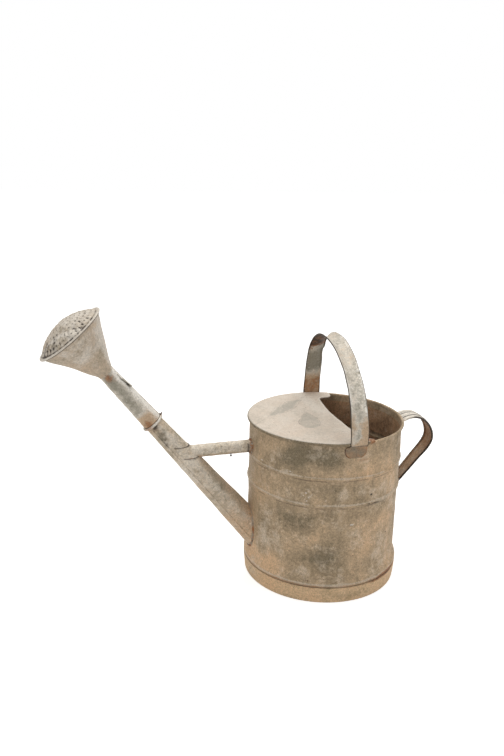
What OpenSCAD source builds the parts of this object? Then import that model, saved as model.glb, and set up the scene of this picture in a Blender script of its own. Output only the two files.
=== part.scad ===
// Old galvanised watering can: a round sheet-steel can with a half-moon cover, a carry strap over
// the mouth, a strap handle behind, a tapered spout with a brace, and a push-on rose.
// +Z is up, the spout points along -X, and the origin is the centre of the foot on the floor.

/* [Sheet and wire] */
// Thickness of the sheet steel
sheet = 0.8; // [0.6:0.1:1.2]
// Diameter of the wire that the rim of the can is rolled over
rim_wire_d = 2.4; // [2:0.1:4]
// Gap between two sheets that are soldered or folded together
seam_gap = 0.05; // [0.03:0.01:0.1]
// Width of a lap seam, where one edge of a sheet lies over the other
lap_w = 9; // [6:1:14]

/* [Can] */
// Outside diameter of the can
body_d = 240; // [200:1:290]
// Height of the top of the rim above the floor
body_h = 261.4; // [220:0.2:320]
// Height of the foot band, which is also the level of the bottom
foot_h = 27; // [20:0.5:34]
// How far the lower edge of the wall stands out over the foot band
flare_out = 4.8; // [3:0.1:7]
// Height over which the wall turns out to that edge
flare_h = 19; // [12:0.5:24]
// How far the foot band leans in from its top to its lower edge
foot_taper = 2.2; // [0:0.1:4]
// Height of the lower raised bead above the floor
bead_low_z = 160; // [140:0.5:170]
// Height of the upper raised bead above the floor
bead_high_z = 203.5; // [185:0.5:215]
// How far the beads stand out from the wall
bead_out = 1.5; // [0.8:0.1:2.5]
// Width of a bead
bead_w = 11; // [8:0.5:14]
// Direction of the wall's lap seam, in degrees from the rear handle
wall_seam_turn = 32; // [25:1:60]

/* [Cover] */
// Distance of the cover's free edge behind the can's axis
cover_edge_x = 14; // [0:0.5:24]
// Distance of the ears' tips behind the can's axis
ear_reach = 40; // [36:0.5:50]
// Width of an ear, from the rim inwards
ear_w = 34; // [28:0.5:40]
// Radius of the ear's rounded tip
ear_tip_r = 12; // [8:0.5:12]
// Radius of the inside corner between ear and free edge
ear_corner_r = 9; // [6:0.5:10]
// Width of the hem under the free edge
cover_hem_w = 5; // [3:0.5:8]

/* [Carry handle] */
// Distance of the carry strap's middle behind the can's axis
strap_x = 13; // [8:0.5:18]
// Width of the carry strap
strap_w = 28.6; // [22:0.2:36]
// Height of the arch above the rim
arch_h = 124.6; // [90:0.2:150]
// How far the top of the arch is bent towards the far side
arch_peak_y = 22; // [16:1:28]
// Squareness of the arch's near half: 2 is an ellipse
arch_near_power = 2; // [1.9:0.02:2.2]
// Squareness of the arch's far half
arch_far_power = 2.44; // [2.2:0.02:2.6]
// Depth of the hollow across the strap at the top of the arch
strap_cup = 6; // [3:0.5:8]
// Width of the tab that lies on the wall under the rim
tab_w = 35; // [30:0.5:40]
// How far the tab is shifted towards the spout
tab_shift = 3.2; // [0:0.1:4]
// How far the tab reaches down from the top of the rim
tab_drop = 24.6; // [20:0.2:32]
// Radius of the tab's lower corners
tab_corner_r = 10; // [6:0.5:12]
// Diameter of the rolled edges of the carry strap
strap_edge_d = 2.4; // [2:0.1:3.4]

/* [Rear handle] */
// How far the rear handle stands off the wall
rear_reach = 61; // [50:0.5:80]
// Height of the top of the rear handle above the floor
rear_top_z = 258; // [250:0.5:262]
// Height at which the rear handle leaves the wall at the top
rear_high_z = 240; // [232:0.5:244]
// Height at which the rear handle comes back to the wall
rear_low_z = 135; // [120:0.5:142]
// Width of the rear handle at the top
rear_top_w = 40; // [30:0.5:44]
// Width of the rear handle at its lower end
rear_low_w = 24; // [20:0.5:30]
// Diameter of the rolled edges of the rear handle
rear_edge_d = 3.2; // [2.4:0.1:4]
// Height of the two stiffening ribs along the rear handle
rear_rib_h = 0.8; // [0.4:0.1:1.2]
// Length of the tongues that lie on the wall at both ends
rear_tongue = 13; // [8:0.5:18]

/* [Spout] */
// Height at which the spout's axis meets the wall
spout_z = 81.9; // [76:0.1:90]
// Rise of the spout above the horizontal, in degrees
spout_rise = 50; // [45:0.5:56]
// Length of the spout's axis from the wall to the lip of the rose
spout_len = 237; // [200:1:280]
// Outside diameter of the spout at the wall
spout_root_d = 45.7; // [40:0.1:48]
// Outside diameter of the spout at the lip of the rose
spout_tip_d = 28.6; // [25:0.1:32]
// Direction of the spout's lap seam round its axis, in degrees from its top
spout_seam_turn = -128; // [-150:1:-100]

/* [Brace] */
// Height at which the brace meets the wall
brace_z = 217.4; // [212:0.2:224]
// Slope of the brace down to the spout, in degrees
brace_slope = 2.3; // [0:0.1:6]
// Outside diameter of the brace
brace_d = 20; // [16:0.2:24]
// Diameter of the brace's collar on the wall
brace_collar_d = 27; // [25:0.5:32]
// Height of the band that wraps the spout
brace_band_h = 18.5; // [14:0.5:22]
// How far the band reaches past the spout's axis
brace_band_past = 16; // [10:0.5:18]
// How far the middle of the band lies above the brace's axis
brace_band_lift = 4; // [3.5:0.5:4.5]

/* [Rose] */
// Length of the spout inside the rose's socket
rose_grip = 30; // [24:1:40]
// Clearance between spout and socket, on the radius
rose_clear = 0.3; // [0.3:0.05:0.6]
// Length of the socket from its lip to the cone
socket_len = 109.4; // [90:0.2:130]
// Outside diameter of the socket at the cone
socket_neck_d = 23.4; // [21:0.2:25]
// Diameter of the wire in the socket's rolled lip
lip_wire_d = 2; // [1.6:0.1:2.6]
// Length of the cone
cone_len = 75; // [60:0.5:90]
// Outside diameter of the rose across its rim
rose_d = 112.4; // [96:0.2:130]
// How far the perforated face bulges out
face_rise = 20; // [12:0.5:26]
// Diameter of the holes in the face
hole_d = 1.9; // [1.4:0.1:2.4]
// Distance between rings of holes
hole_pitch = 6.6; // [6:0.1:8]

/* [Hidden] */
$fn = 96;

body_r = body_d / 2;
sheet_in = body_r - sheet;
// A lap seam stands this far out of the sheet, and is sunk this deep in it.
lap_h = 0.7;
lap_root = 0.3;

// The rim: the wall is rolled outwards over the wire, and the cover is folded over that roll.
rim_wire_r = rim_wire_d / 2;
roll_in_r = rim_wire_r + seam_gap;
roll_out_r = roll_in_r + sheet;
fold_in_r = roll_out_r + seam_gap;
fold_out_r = fold_in_r + sheet;
rim_r = sheet_in + roll_out_r;
rim_z = body_h - fold_out_r;
rim_out_r = rim_r + fold_out_r;
roll_end = -100;
fold_end = -10;

foot_top_r = body_r + flare_out;
foot_flange_w = 4;
foot_hem_h = 6;
disc_inset = 0.6;
flare_flat = 0.3 * flare_h;

strap_gap = 0.1;
edge_blend = 28;
cup_from = 40;
cup_blend = 75;

spout_root_r = spout_root_d / 2;
spout_tip_r = spout_tip_d / 2;
spout_inside = 45;
spout_lap_end = spout_len - 4;
spout_fall = (spout_root_r - spout_tip_r) / spout_len;
hole_lip = 3;
spout_hole_r = spout_root_r - sheet - hole_lip;

brace_r = brace_d / 2;
brace_collar_len = 14;
brace_past_wall = 6;
// The stretch of the spout that the brace's end and band are fitted to.
brace_fit_from = 60;
brace_fit_to = spout_len - 5;

lip_wire_r = lip_wire_d / 2;
lip_roll_in_r = lip_wire_r + seam_gap;
lip_roll_out_r = lip_roll_in_r + sheet;
socket_lip_r = spout_tip_r + rose_clear + sheet;
socket_neck_r = socket_neck_d / 2;
neck_s = spout_len + socket_len;
lip_roll_r = socket_lip_r - sheet + lip_roll_out_r;
lip_roll_s = spout_len + lip_roll_out_r;
lip_break = 26;
lip_wire_end = 5;
lip_wire_turn = 50;
socket_in_cone = 3;
socket_lap_turn = 34;
sprung_turn = 26;
sprung_len = 27;
sprung_h = 2.4;

neck_collar = 3;
neck_out_r = socket_r(neck_s - neck_collar) + seam_gap + sheet;
face_fold_r = sheet / 2 + seam_gap + sheet;
flange_r = rose_d / 2 - face_fold_r;
cone_flange_w = 1.4;
cone_top_r = flange_r - cone_flange_w;
cone_top_s = neck_s + cone_len;
cone_side = sheet / cos(atan((cone_top_r - neck_out_r) / cone_len));
face_rim_w = 2.6;
face_r = flange_r - face_rim_w;
face_fold_w = 0.7;
face_join = 0.4;
face_margin = 4;
dome_r = (face_r * face_r + face_rise * face_rise) / (2 * face_rise);
face_s = cone_top_s + sheet + seam_gap;
dome_s = face_s + sheet + face_rise - dome_r;
hole_rings = floor((face_r - face_margin) / hole_pitch);

zinc = [0.66, 0.61, 0.53];
zinc_pale = [0.78, 0.73, 0.66];
rust_wire = [0.42, 0.29, 0.20];

// Outside radius of the wall at height z: straight, with two beads and the turned-out lower edge.
function bump(z, middle, width, height) =
    abs(z - middle) < width / 2 ? height * (1 + cos(360 * (z - middle) / width)) / 2 : 0;
function flare(z) =
    z <= foot_h + flare_flat ? flare_out :
    z >= foot_h + flare_h ? 0 :
    flare_out * (1 + cos(180 * (z - foot_h - flare_flat) / (flare_h - flare_flat))) / 2;
function wall_r(z) =
    body_r + flare(z) + bump(z, bead_low_z, bead_w, bead_out) + bump(z, bead_high_z, bead_w, bead_out);
function steps(from, to, n) = [for (i = [0:n]) from + (to - from) * i / n];
wall_heights = concat(
    [foot_h + seam_gap], steps(foot_h + flare_flat, foot_h + flare_h, 8),
    steps(bead_low_z - bead_w / 2, bead_low_z + bead_w / 2, 8),
    steps(bead_high_z - bead_w / 2, bead_high_z + bead_w / 2, 8), [rim_z]);

function reverse(list) = [for (i = [len(list) - 1:-1:0]) list[i]];
function arc(centre, r, from, to, n) =
    [for (a = steps(from, to, n)) [centre[0] + r * cos(a), centre[1] + r * sin(a)]];

// Outside radius of the spout and of the socket, s along the spout's axis from the wall.
function spout_r(s) = spout_root_r - spout_fall * s;
function socket_r(s) =
    socket_lip_r + (socket_neck_r - socket_lip_r) * (s - spout_len) / socket_len;

// A strip swept along a path in a plane. Each ring is a closed outline of [across, out] points.
function ring_faces(rings, n) = concat(
    [[for (j = [n - 1:-1:0]) j]],
    [for (i = [0:rings - 2], j = [0:n - 1])
        let (a = i * n + j, b = i * n + (j + 1) % n) each [[a, b, b + n], [a, b + n, a + n]]],
    [[for (j = [0:n - 1]) (rings - 1) * n + j]]);

// Half outline of a strap with a rolled edge: from the middle of the outer face, given as points,
// round the edge to the middle of the inner face.
function half_strap(half_w, edge_r, face) = concat(
    face,
    [for (a = steps(90, -180 - asin((edge_r - sheet) / edge_r), 8))
        [half_w - edge_r + edge_r * cos(a), -edge_r + edge_r * sin(a)]],
    [for (t = [0.6, 0.4, 0.2, 0]) [t * half_w, -sheet]]);
function strap_ring(half_w, edge_r, face) =
    let (half = half_strap(half_w, edge_r, face))
        concat(half, reverse([for (p = half) if (p[0] > 0) [-p[0], p[1]]]));
function plain_face(half_w) = [for (t = [0, 0.2, 0.4, 0.6, 0.78]) [t * half_w, 0]];

function unit(v) = v / norm(v);
// Normal of a plane path at point i, to the left of the path.
function path_normal(path, i) =
    let (d = unit(path[min(i + 1, len(path) - 1)] - path[max(i - 1, 0)])) [-d[1], d[0]];
function smooth(t) = let (u = min(max(t, 0), 1)) u * u * (3 - 2 * u);

function bezier(a, b, c, d, n) =
    [for (t = steps(0, 1, n)) pow(1 - t, 3) * a + 3 * t * pow(1 - t, 2) * b
        + 3 * t * t * (1 - t) * c + pow(t, 3) * d];
function tail(list) = [for (i = [1:len(list) - 1]) list[i]];

// Everything inside the wall's outer face, grown by a margin.
module wall_solid(extra) {
    rotate_extrude() polygon(concat(
        [[0, foot_h]], [for (z = wall_heights) [wall_r(z) + extra, z]], [[0, rim_z]]));
}

module along_spout() {
    translate([-body_r, 0, spout_z]) rotate([0, spout_rise - 90, 0]) children();
}

module spout_solid(extra, from, to) {
    translate([0, 0, from])
        cylinder(h = to - from, r1 = spout_r(from) + extra, r2 = spout_r(to) + extra);
}

// The raised lap seam along the spout, grown by a margin.
module spout_lap(extra) {
    lap_turn = (lap_w + 2 * extra) / spout_root_r * 180 / PI;
    high = lap_h + extra;
    rotate([0, 0, spout_seam_turn - lap_turn / 2]) rotate_extrude(angle = lap_turn)
        polygon([[spout_r(-spout_inside) - lap_root, -spout_inside],
                 [spout_r(-spout_inside) + high, -spout_inside],
                 [spout_r(spout_lap_end) + high, spout_lap_end],
                 [spout_r(spout_lap_end) - lap_root, spout_lap_end + 1]]);
}

module body_wall() {
    outer = [for (z = wall_heights) [wall_r(z), z]];
    inner = [for (z = wall_heights) [wall_r(z) - sheet, z]];
    roll = concat(arc([rim_r, rim_z], roll_in_r, 180, roll_end, 14),
                  arc([rim_r, rim_z], roll_out_r, roll_end, 180, 14));
    lap_from = foot_h + flare_h;
    lap_turn = lap_w / body_r * 180 / PI;
    lap_heights = concat([for (z = wall_heights) if (z >= lap_from && z < rim_z) z], [rim_z - 6]);
    color(zinc) difference() {
        union() {
            rotate_extrude() polygon(concat(outer, roll, reverse(inner)));
            rotate([0, 0, wall_seam_turn]) rotate_extrude(angle = lap_turn)
                polygon(concat(
                    [for (z = lap_heights) [wall_r(z) + sheet, z]],
                    reverse([for (z = lap_heights) [wall_r(z) - sheet / 2, z]])));
        }
        along_spout() translate([0, 0, -spout_inside]) cylinder(h = 2 * spout_inside, r = spout_hole_r);
    }
}

module rim_wire() {
    color(rust_wire) rotate_extrude() translate([rim_r, rim_z]) circle(r = rim_wire_r, $fn = 24);
}

module bottom_disc() {
    color(zinc) translate([0, 0, foot_h - sheet]) cylinder(h = sheet, r = foot_top_r - disc_inset);
}

module foot_band() {
    top = foot_h - sheet - seam_gap;
    low_r = foot_top_r - foot_taper;
    color(zinc_pale) rotate_extrude() polygon([
        [low_r, 0], [foot_top_r, top], [foot_top_r - foot_flange_w, top],
        [foot_top_r - foot_flange_w, top - sheet], [foot_top_r - 1.5 * sheet, top - sheet],
        [low_r - sheet, foot_hem_h], [low_r - 2 * sheet, foot_hem_h - sheet],
        [low_r - 2 * sheet, 0]]);
}

// Plan of the cover: everything in front of the free edge, and an ear along the rim on each side.
function ear_outline() =
    let (y = rim_out_r - ear_w)
        concat(
            arc([cover_edge_x + ear_corner_r, y - ear_corner_r], ear_corner_r, 180, 90, 8),
            arc([ear_reach - ear_tip_r, y + ear_tip_r], ear_tip_r, -90, 0, 8),
            [[ear_reach, body_d], [-body_d, body_d]]);

module cover() {
    ear = ear_outline();
    plan = concat(ear, reverse([for (p = ear) [p[0], -p[1]]]));
    hem_len = 2 * (rim_out_r - ear_w - 2 * ear_corner_r);
    color(zinc_pale) union() {
        intersection() {
            rotate_extrude() polygon(concat(
                [[0, rim_z + fold_in_r]],
                arc([rim_r, rim_z], fold_in_r, 90, fold_end, 8),
                arc([rim_r, rim_z], fold_out_r, fold_end, 90, 8),
                [[0, rim_z + fold_out_r]]));
            translate([0, 0, rim_z - fold_out_r]) linear_extrude(3 * fold_out_r) polygon(plan);
        }
        translate([cover_edge_x - cover_hem_w, -hem_len / 2, rim_z + fold_in_r - sheet])
            cube([cover_hem_w, hem_len, 1.5 * sheet]);
    }
}

// The carry strap's outer face in the plane across the can: [distance from the middle, height].
strap_on_wall_r = body_r + strap_gap + sheet;
strap_on_rim_r = rim_out_r + strap_gap + sheet;
step_top_gap = 2.2;
step_h = 5.8;
step_high_z = rim_z - step_top_gap;
step_low_z = step_high_z - step_h;
// 0 where the strap lies on the wall, 1 where it lies on the rim.
function past_step(z) = smooth((z - step_low_z) / (step_high_z - step_low_z));
function strap_r(z) = strap_on_wall_r + (strap_on_rim_r - strap_on_wall_r) * past_step(z);
function round_at(r, x) = sqrt(r * r - x * x);
tab_z = body_h - tab_drop;
foot_heights = concat(
    [for (a = steps(0, 75, 5)) tab_z + 0.2 + tab_corner_r * (1 - cos(a))],
    [step_low_z - 1], steps(step_low_z + 1, step_high_z, 4), [body_h - 1]);
arch_half = round_at(strap_on_rim_r, strap_x);
// One leg, from its foot up to the top of the arch. side is -1 for the near leg and 1 for the far one.
function leg_path(side, power) = concat(
    [for (z = foot_heights) [side * round_at(strap_r(z), strap_x), z]],
    [for (a = steps(4, 90, 20))
        [arch_peak_y + (side * arch_half - arch_peak_y) * pow(cos(a), 2 / power),
         body_h + arch_h * pow(sin(a), 2 / power)]]);
strap_path = concat(leg_path(-1, arch_near_power), tail(reverse(leg_path(1, arch_far_power))));

function tab_half_w(z) =
    let (d = max(tab_corner_r - (z - tab_z), 0))
        tab_w / 2 - tab_corner_r + round_at(tab_corner_r, min(d, tab_corner_r));
function strap_half_w(z) =
    tab_half_w(z) + (strap_w / 2 - tab_half_w(z)) * past_step(z);
function strap_shift(z) = -tab_shift * (1 - past_step(z));

module carry_handle() {
    n = len(strap_path);
    rings = [for (i = [0:n - 1])
        let (z = strap_path[i][1], half_w = strap_half_w(z), free = smooth((z - body_h) / edge_blend),
             edge_r = sheet / 2 + free * (strap_edge_d - sheet) / 2,
             normal = path_normal(strap_path, i), round_r = strap_r(z),
             cup = strap_cup * smooth((z - body_h - cup_from) / cup_blend), flat_w = half_w - 2 * edge_r)
        [for (p = strap_ring(half_w, edge_r, plain_face(half_w)))
            let (x = strap_x + strap_shift(z) + p[0],
                 sag = (1 - free) * (round_at(round_r, strap_x) - round_at(round_r, x)),
                 sink = cup * (1 - pow(min(abs(p[0]) / flat_w, 1), 2)),
                 q = strap_path[i] + (p[1] - sink) * normal)
            [x, q[0] - sign(strap_path[i][0]) * sag, q[1]]]];
    m = len(rings[0]);
    color(zinc_pale)
        polyhedron([for (ring = rings) each ring], ring_faces(n, m), convexity = 8);
}

// The rear handle's outer face in the plane of symmetry: [x, z]. At its ends it lies on the wall.
rear_wall_x = body_r + strap_gap;
rear_low_x = rear_wall_x + sheet;
rear_tip_x = body_r + rear_reach;
rear_shoulder = 25;
rear_drop = 39;
rear_back = [23, 38];
rear_bend_z = rear_top_z - rear_drop;
rear_straight = [rear_tip_x, rear_bend_z] - rear_back;
rear_low = [rear_low_x + 1.2, rear_low_z];
rear_lean = unit(rear_straight - rear_low);
rear_path = concat(
    [[rear_wall_x, rear_high_z - rear_tongue], [rear_wall_x, rear_high_z - rear_tongue / 2]],
    bezier([rear_wall_x, rear_high_z], [rear_wall_x, rear_high_z + 8],
           [rear_wall_x + 8, rear_top_z], [rear_wall_x + rear_shoulder, rear_top_z], 12),
    tail(bezier([rear_wall_x + rear_shoulder, rear_top_z], [rear_tip_x - 0.3 * rear_reach, rear_top_z],
                [rear_tip_x, rear_bend_z + 21], [rear_tip_x, rear_bend_z], 12)),
    tail(bezier([rear_tip_x, rear_bend_z], [rear_tip_x, rear_bend_z - 14],
                rear_straight + 12 * rear_lean, rear_straight, 8)),
    [(rear_straight + rear_low) / 2],
    bezier(rear_low + 8 * rear_lean, rear_low + 2 * rear_lean, [rear_low_x, rear_low_z - 1],
           [rear_low_x, rear_low_z - 6], 6),
    [[rear_low_x, rear_low_z - rear_tongue]]);

// The handle's points are worked out from where it leaves the wall, in a frame that leans, so that no
// stretch of the strap lies along an axis of its own frame.
rear_lay = 7;
rear_rib_place = 0.36;
rear_rib_top = 0.7;
rear_rib_foot = 1.6;
function turned(p, a) = [p[0] * cos(a) + p[2] * sin(a), p[1], p[2] * cos(a) - p[0] * sin(a)];

module rear_handle() {
    n = len(rear_path);
    rings = [for (i = [0:n - 1])
        let (t = i / (n - 1), off = rear_path[i][0] - rear_wall_x,
             free = smooth((off - 1) / 10),
             half_w = (rear_top_w + (rear_low_w - rear_top_w) * t) / 2,
             edge_r = sheet / 2 + free * (rear_edge_d - sheet) / 2,
             normal = path_normal(rear_path, i), rib = rear_rib_h * free, rib_x = rear_rib_place * half_w)
        [for (p = strap_ring(half_w, edge_r,
                [[0, 0], [rib_x - rear_rib_foot, 0], [rib_x - rear_rib_top, rib],
                 [rib_x + rear_rib_top, rib], [rib_x + rear_rib_foot, 0]]))
            let (q = rear_path[i] + p[1] * normal,
                 sag = (1 - smooth(off / 30)) * (body_r - round_at(body_r, p[0])))
            turned([q[0] - sag - rear_wall_x, p[0], q[1] - rear_low_z], -rear_lay)]];
    m = len(rings[0]);
    color(zinc_pale) translate([rear_wall_x, 0, rear_low_z]) rotate([0, rear_lay, 0])
        polyhedron([for (ring = rings) each reverse(ring)], ring_faces(n, m), convexity = 8);
}

module spout_tube() {
    top = spout_len + rose_grip;
    color(zinc) difference() {
        along_spout() difference() {
            union() {
                spout_solid(0, -spout_inside, top);
                spout_lap(0);
            }
            spout_solid(-sheet, -spout_inside - 1, top + 1);
        }
        wall_solid(seam_gap);
    }
}

module brace_along() {
    translate([-body_r, 0, brace_z]) rotate([0, -90 - brace_slope, 0]) children();
}

module brace_tube() {
    axis_x = (brace_z - spout_z) / tan(spout_rise) + body_r;
    band_end_x = axis_x + brace_band_past;
    brace_len = axis_x - body_r + brace_past_wall;
    band_z = brace_z - (axis_x - body_r) * tan(brace_slope) + brace_band_lift;
    wrap = seam_gap + sheet;
    collar_r = brace_collar_d / 2;
    color(zinc_pale) difference() {
        union() {
            difference() {
                brace_along() translate([0, 0, -brace_past_wall]) cylinder(h = brace_len, r = brace_r);
                along_spout() spout_solid(seam_gap, brace_fit_from, spout_len);
            }
            intersection() {
                along_spout() {
                    spout_solid(wrap, brace_fit_from, brace_fit_to);
                    spout_lap(wrap);
                }
                translate([-band_end_x, -body_r, band_z - brace_band_h / 2])
                    cube([band_end_x - body_r - brace_collar_len, body_d, brace_band_h]);
            }
            intersection() {
                brace_along() translate([0, 0, -brace_past_wall])
                    cylinder(h = brace_collar_len + brace_past_wall, r = collar_r);
                wall_solid(seam_gap + sheet);
            }
        }
        brace_along() translate([0, 0, -2 * brace_past_wall])
            cylinder(h = brace_len + brace_past_wall, r = brace_r - sheet);
        along_spout() {
            spout_solid(seam_gap, brace_fit_from - brace_past_wall, spout_len + 5);
            spout_lap(seam_gap);
        }
        wall_solid(seam_gap);
    }
}

// The socket's lap seam runs along the top of the spout. Near the cone its edge has sprung up.
module rose_socket() {
    roll = concat(arc([lip_roll_r, lip_roll_s], lip_roll_in_r, 180, 460, 14),
                  arc([lip_roll_r, lip_roll_s], lip_roll_out_r, 460, 180, 14));
    top = neck_s + socket_in_cone;
    lap_from = spout_len + 2 * lip_roll_out_r;
    sprung_to = neck_s - neck_collar - 1;
    sprung_from = sprung_to - sprung_len;
    color(zinc_pale) along_spout() difference() {
        union() {
            rotate_extrude() polygon(concat(
                [[socket_r(top), top]], roll, [[socket_r(top) - sheet, top]]));
            rotate_extrude(angle = socket_lap_turn) polygon([
                [socket_r(lap_from) - lap_root, lap_from], [socket_r(lap_from) + lap_h, lap_from],
                [socket_r(sprung_to) + lap_h, sprung_to], [socket_r(sprung_to) - lap_root, sprung_to]]);
            rotate([0, 0, (socket_lap_turn - sprung_turn) / 2])
                rotate_extrude(angle = sprung_turn) polygon([
                    [socket_r(sprung_from) + sprung_h, sprung_from],
                    [socket_r(sprung_from) + sprung_h + sheet, sprung_from],
                    [socket_r(sprung_to) + sheet, sprung_to], [socket_r(sprung_to), sprung_to]]);
        }
        rotate([0, 0, -lip_break / 2]) rotate_extrude(angle = lip_break)
            translate([socket_lip_r + seam_gap, spout_len - 1])
                square([4 * lip_roll_out_r, 2 * lip_roll_out_r + 2]);
    }
}

// The wire in the lip shows in the break of the roll, where its end is bent outwards.
module lip_wire() {
    color(rust_wire) along_spout() translate([0, 0, lip_roll_s]) {
        rotate_extrude() translate([lip_roll_r, 0]) circle(r = lip_wire_r, $fn = 24);
        translate([lip_roll_r, 0, 0]) rotate([0, lip_wire_turn, 0])
            cylinder(h = lip_wire_end, r = 0.8 * lip_wire_r, $fn = 24);
    }
}

module rose_cone() {
    color(zinc) along_spout() rotate_extrude() polygon([
        [neck_out_r, neck_s - neck_collar], [neck_out_r, neck_s],
        [cone_top_r, cone_top_s], [flange_r, cone_top_s], [flange_r, cone_top_s + sheet],
        [cone_top_r - cone_side + sheet / 2, cone_top_s + sheet],
        [neck_out_r - cone_side + sheet / 8, neck_s],
        [neck_out_r - sheet, neck_s - neck_collar]]);
}

module rose_face() {
    fold = [flange_r, cone_top_s + sheet / 2];
    color(zinc_pale) along_spout() difference() {
        union() {
            intersection() {
                translate([0, 0, dome_s]) difference() {
                    sphere(r = dome_r);
                    sphere(r = dome_r - sheet);
                }
                translate([0, 0, face_s]) cylinder(h = face_rise + 2 * sheet, r = face_r);
            }
            rotate_extrude() polygon(concat(
                [[face_r - face_join, face_s + sheet], [face_r - face_join, face_s]],
                arc(fold, sheet / 2 + seam_gap, 90, -90, 6),
                [[flange_r - face_fold_w, fold[1] - sheet / 2 - seam_gap]],
                [[flange_r - face_fold_w, fold[1] - face_fold_r]], arc(fold, face_fold_r, -90, 90, 6)));
        }
        translate([0, 0, dome_s]) for (ring = [1:hole_rings], k = [0:6 * ring - 1])
            rotate([0, 0, 60 * k / ring + 17 * ring]) rotate([0, asin(ring * hole_pitch / dome_r), 0])
                translate([0, 0, dome_r - 3 * sheet]) cylinder(h = 5 * sheet, r = hole_d / 2, $fn = 16);
    }
}

body_wall();
rim_wire();
bottom_disc();
foot_band();
cover();
carry_handle();
rear_handle();
spout_tube();
brace_tube();
rose_socket();
lip_wire();
rose_cone();
rose_face();
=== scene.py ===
import math

import bmesh
import bpy
import numpy as np
from mathutils import Matrix, Vector, noise
from mathutils.geometry import delaunay_2d_cdt


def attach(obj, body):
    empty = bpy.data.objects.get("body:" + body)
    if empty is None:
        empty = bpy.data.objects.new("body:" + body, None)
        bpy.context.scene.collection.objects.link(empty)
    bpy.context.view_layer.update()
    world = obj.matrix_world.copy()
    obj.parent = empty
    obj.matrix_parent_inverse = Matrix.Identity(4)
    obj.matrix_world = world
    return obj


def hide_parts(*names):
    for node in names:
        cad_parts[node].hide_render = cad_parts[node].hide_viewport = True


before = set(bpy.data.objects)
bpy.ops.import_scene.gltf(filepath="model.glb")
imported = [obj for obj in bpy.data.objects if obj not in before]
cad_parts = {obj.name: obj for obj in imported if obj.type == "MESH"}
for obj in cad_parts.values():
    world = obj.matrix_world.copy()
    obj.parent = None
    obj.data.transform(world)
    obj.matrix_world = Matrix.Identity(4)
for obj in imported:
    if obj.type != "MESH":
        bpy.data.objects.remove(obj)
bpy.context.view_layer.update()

MM = 0.001
SHEET = 0.8  # how thick the sheet is
GAP = 0.05  # between two soldered sheets
BODY_R = 120.0
RIM_R, RIM_Z = 121.25, 258.5  # the middle of the rim's wire
ROLL_IN, ROLL_OUT = 1.25, 2.05  # the wall's roll round that wire
FOLD_IN, FOLD_OUT = 2.1, 2.9  # the cover's fold over the roll
FOOT_H, FLARE_H, FLARE_OUT, FLARE_FLAT = 27.0, 19.0, 4.8, 5.7
BEADS = (160.0, 203.5)  # heights of the two beads
BEAD_W, BEAD_OUT = 10.0, 2.1
SPOUT_Z, SPOUT_LEN, RISE = 81.9, 237.0, math.radians(50.0)
BRACE_Z, BRACE_SLOPE, BRACE_R = 217.4, math.radians(2.3), 10.0
BRACE_BAND = (207.5, 226.0)  # heights of the band's two edges

# the spout's axis: where it leaves the wall, the way it runs, and two directions across it
SPOUT_O = np.array([-BODY_R, 0.0, SPOUT_Z])
ALONG = np.array([-math.cos(RISE), 0.0, math.sin(RISE)])
TOPWARD = np.array([math.sin(RISE), 0.0, math.cos(RISE)])
SIDEWARD = np.array([0.0, 1.0, 0.0])

# ------------------------------------------------------------------ small helpers


def smooth(t):
    t = np.clip(t, 0, 1)
    return t * t * (3 - 2 * t)


def bump(x, middle, width):
    return np.where(np.abs(x - middle) < width / 2, (1 + np.cos(2 * np.pi * (x - middle) / width)) / 2, 0.0)


def fbm(points, size, seed=0, octaves=3):
    """Smooth noise at each point, about -1 to 1, with features about size millimetres across."""
    shift = Vector((17.3 * seed, 5.1 * seed, 9.7 * seed))
    return np.array([noise.fractal(Vector(p) / size + shift, 0.6, 2.0, octaves) for p in points])


def spot(points, centre, radius, power=2.0):
    """1 at the centre, falling to 0 over about radius millimetres. The radius may differ along x, y and z."""
    d = (np.asarray(points) - np.asarray(centre)) / np.asarray(radius)
    return np.exp(-((d**2).sum(axis=-1) ** (power / 2)))


def hill(v, width):
    """1 where v is 0, falling to 0 over about width on both sides."""
    return np.exp(-((v / width) ** 2))


def on_wall(turn, z):
    a = math.radians(turn)
    return np.array([BODY_R * math.cos(a), BODY_R * math.sin(a), z])


def patches(points, table):
    """Spots on the can's wall, added up. A row is turn, height, size round the wall and upwards, how much."""
    total = 0
    for turn, z, wide, tall, much in table:
        total = total + much * spot(points, on_wall(turn, z), (wide, wide, tall))
    return total


def tiled(row, like):
    return row[None, :] * np.ones_like(like)


def upright(r, a, z):
    return np.stack([r * np.cos(a), r * np.sin(a), z], axis=-1)


def tube_points(origin, along, one, two, r, a, s):
    """Points at radius r, turn a and distance s along an axis, with one and two across it."""
    return origin + s[..., None] * along + (r * np.cos(a))[..., None] * one + (r * np.sin(a))[..., None] * two


def on_spout(r, a, s):
    return tube_points(SPOUT_O, ALONG, TOPWARD, SIDEWARD, r, a, s)


def grid_faces(rows, cols, close_rows=False, close_cols=False):
    r = rows if close_rows else rows - 1
    c = cols if close_cols else cols - 1
    return [
        (i * cols + j, i * cols + (j + 1) % cols, ((i + 1) % rows) * cols + (j + 1) % cols,
        ((i + 1) % rows) * cols + j)
        for i in range(r)
        for j in range(c)
    ]


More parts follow.
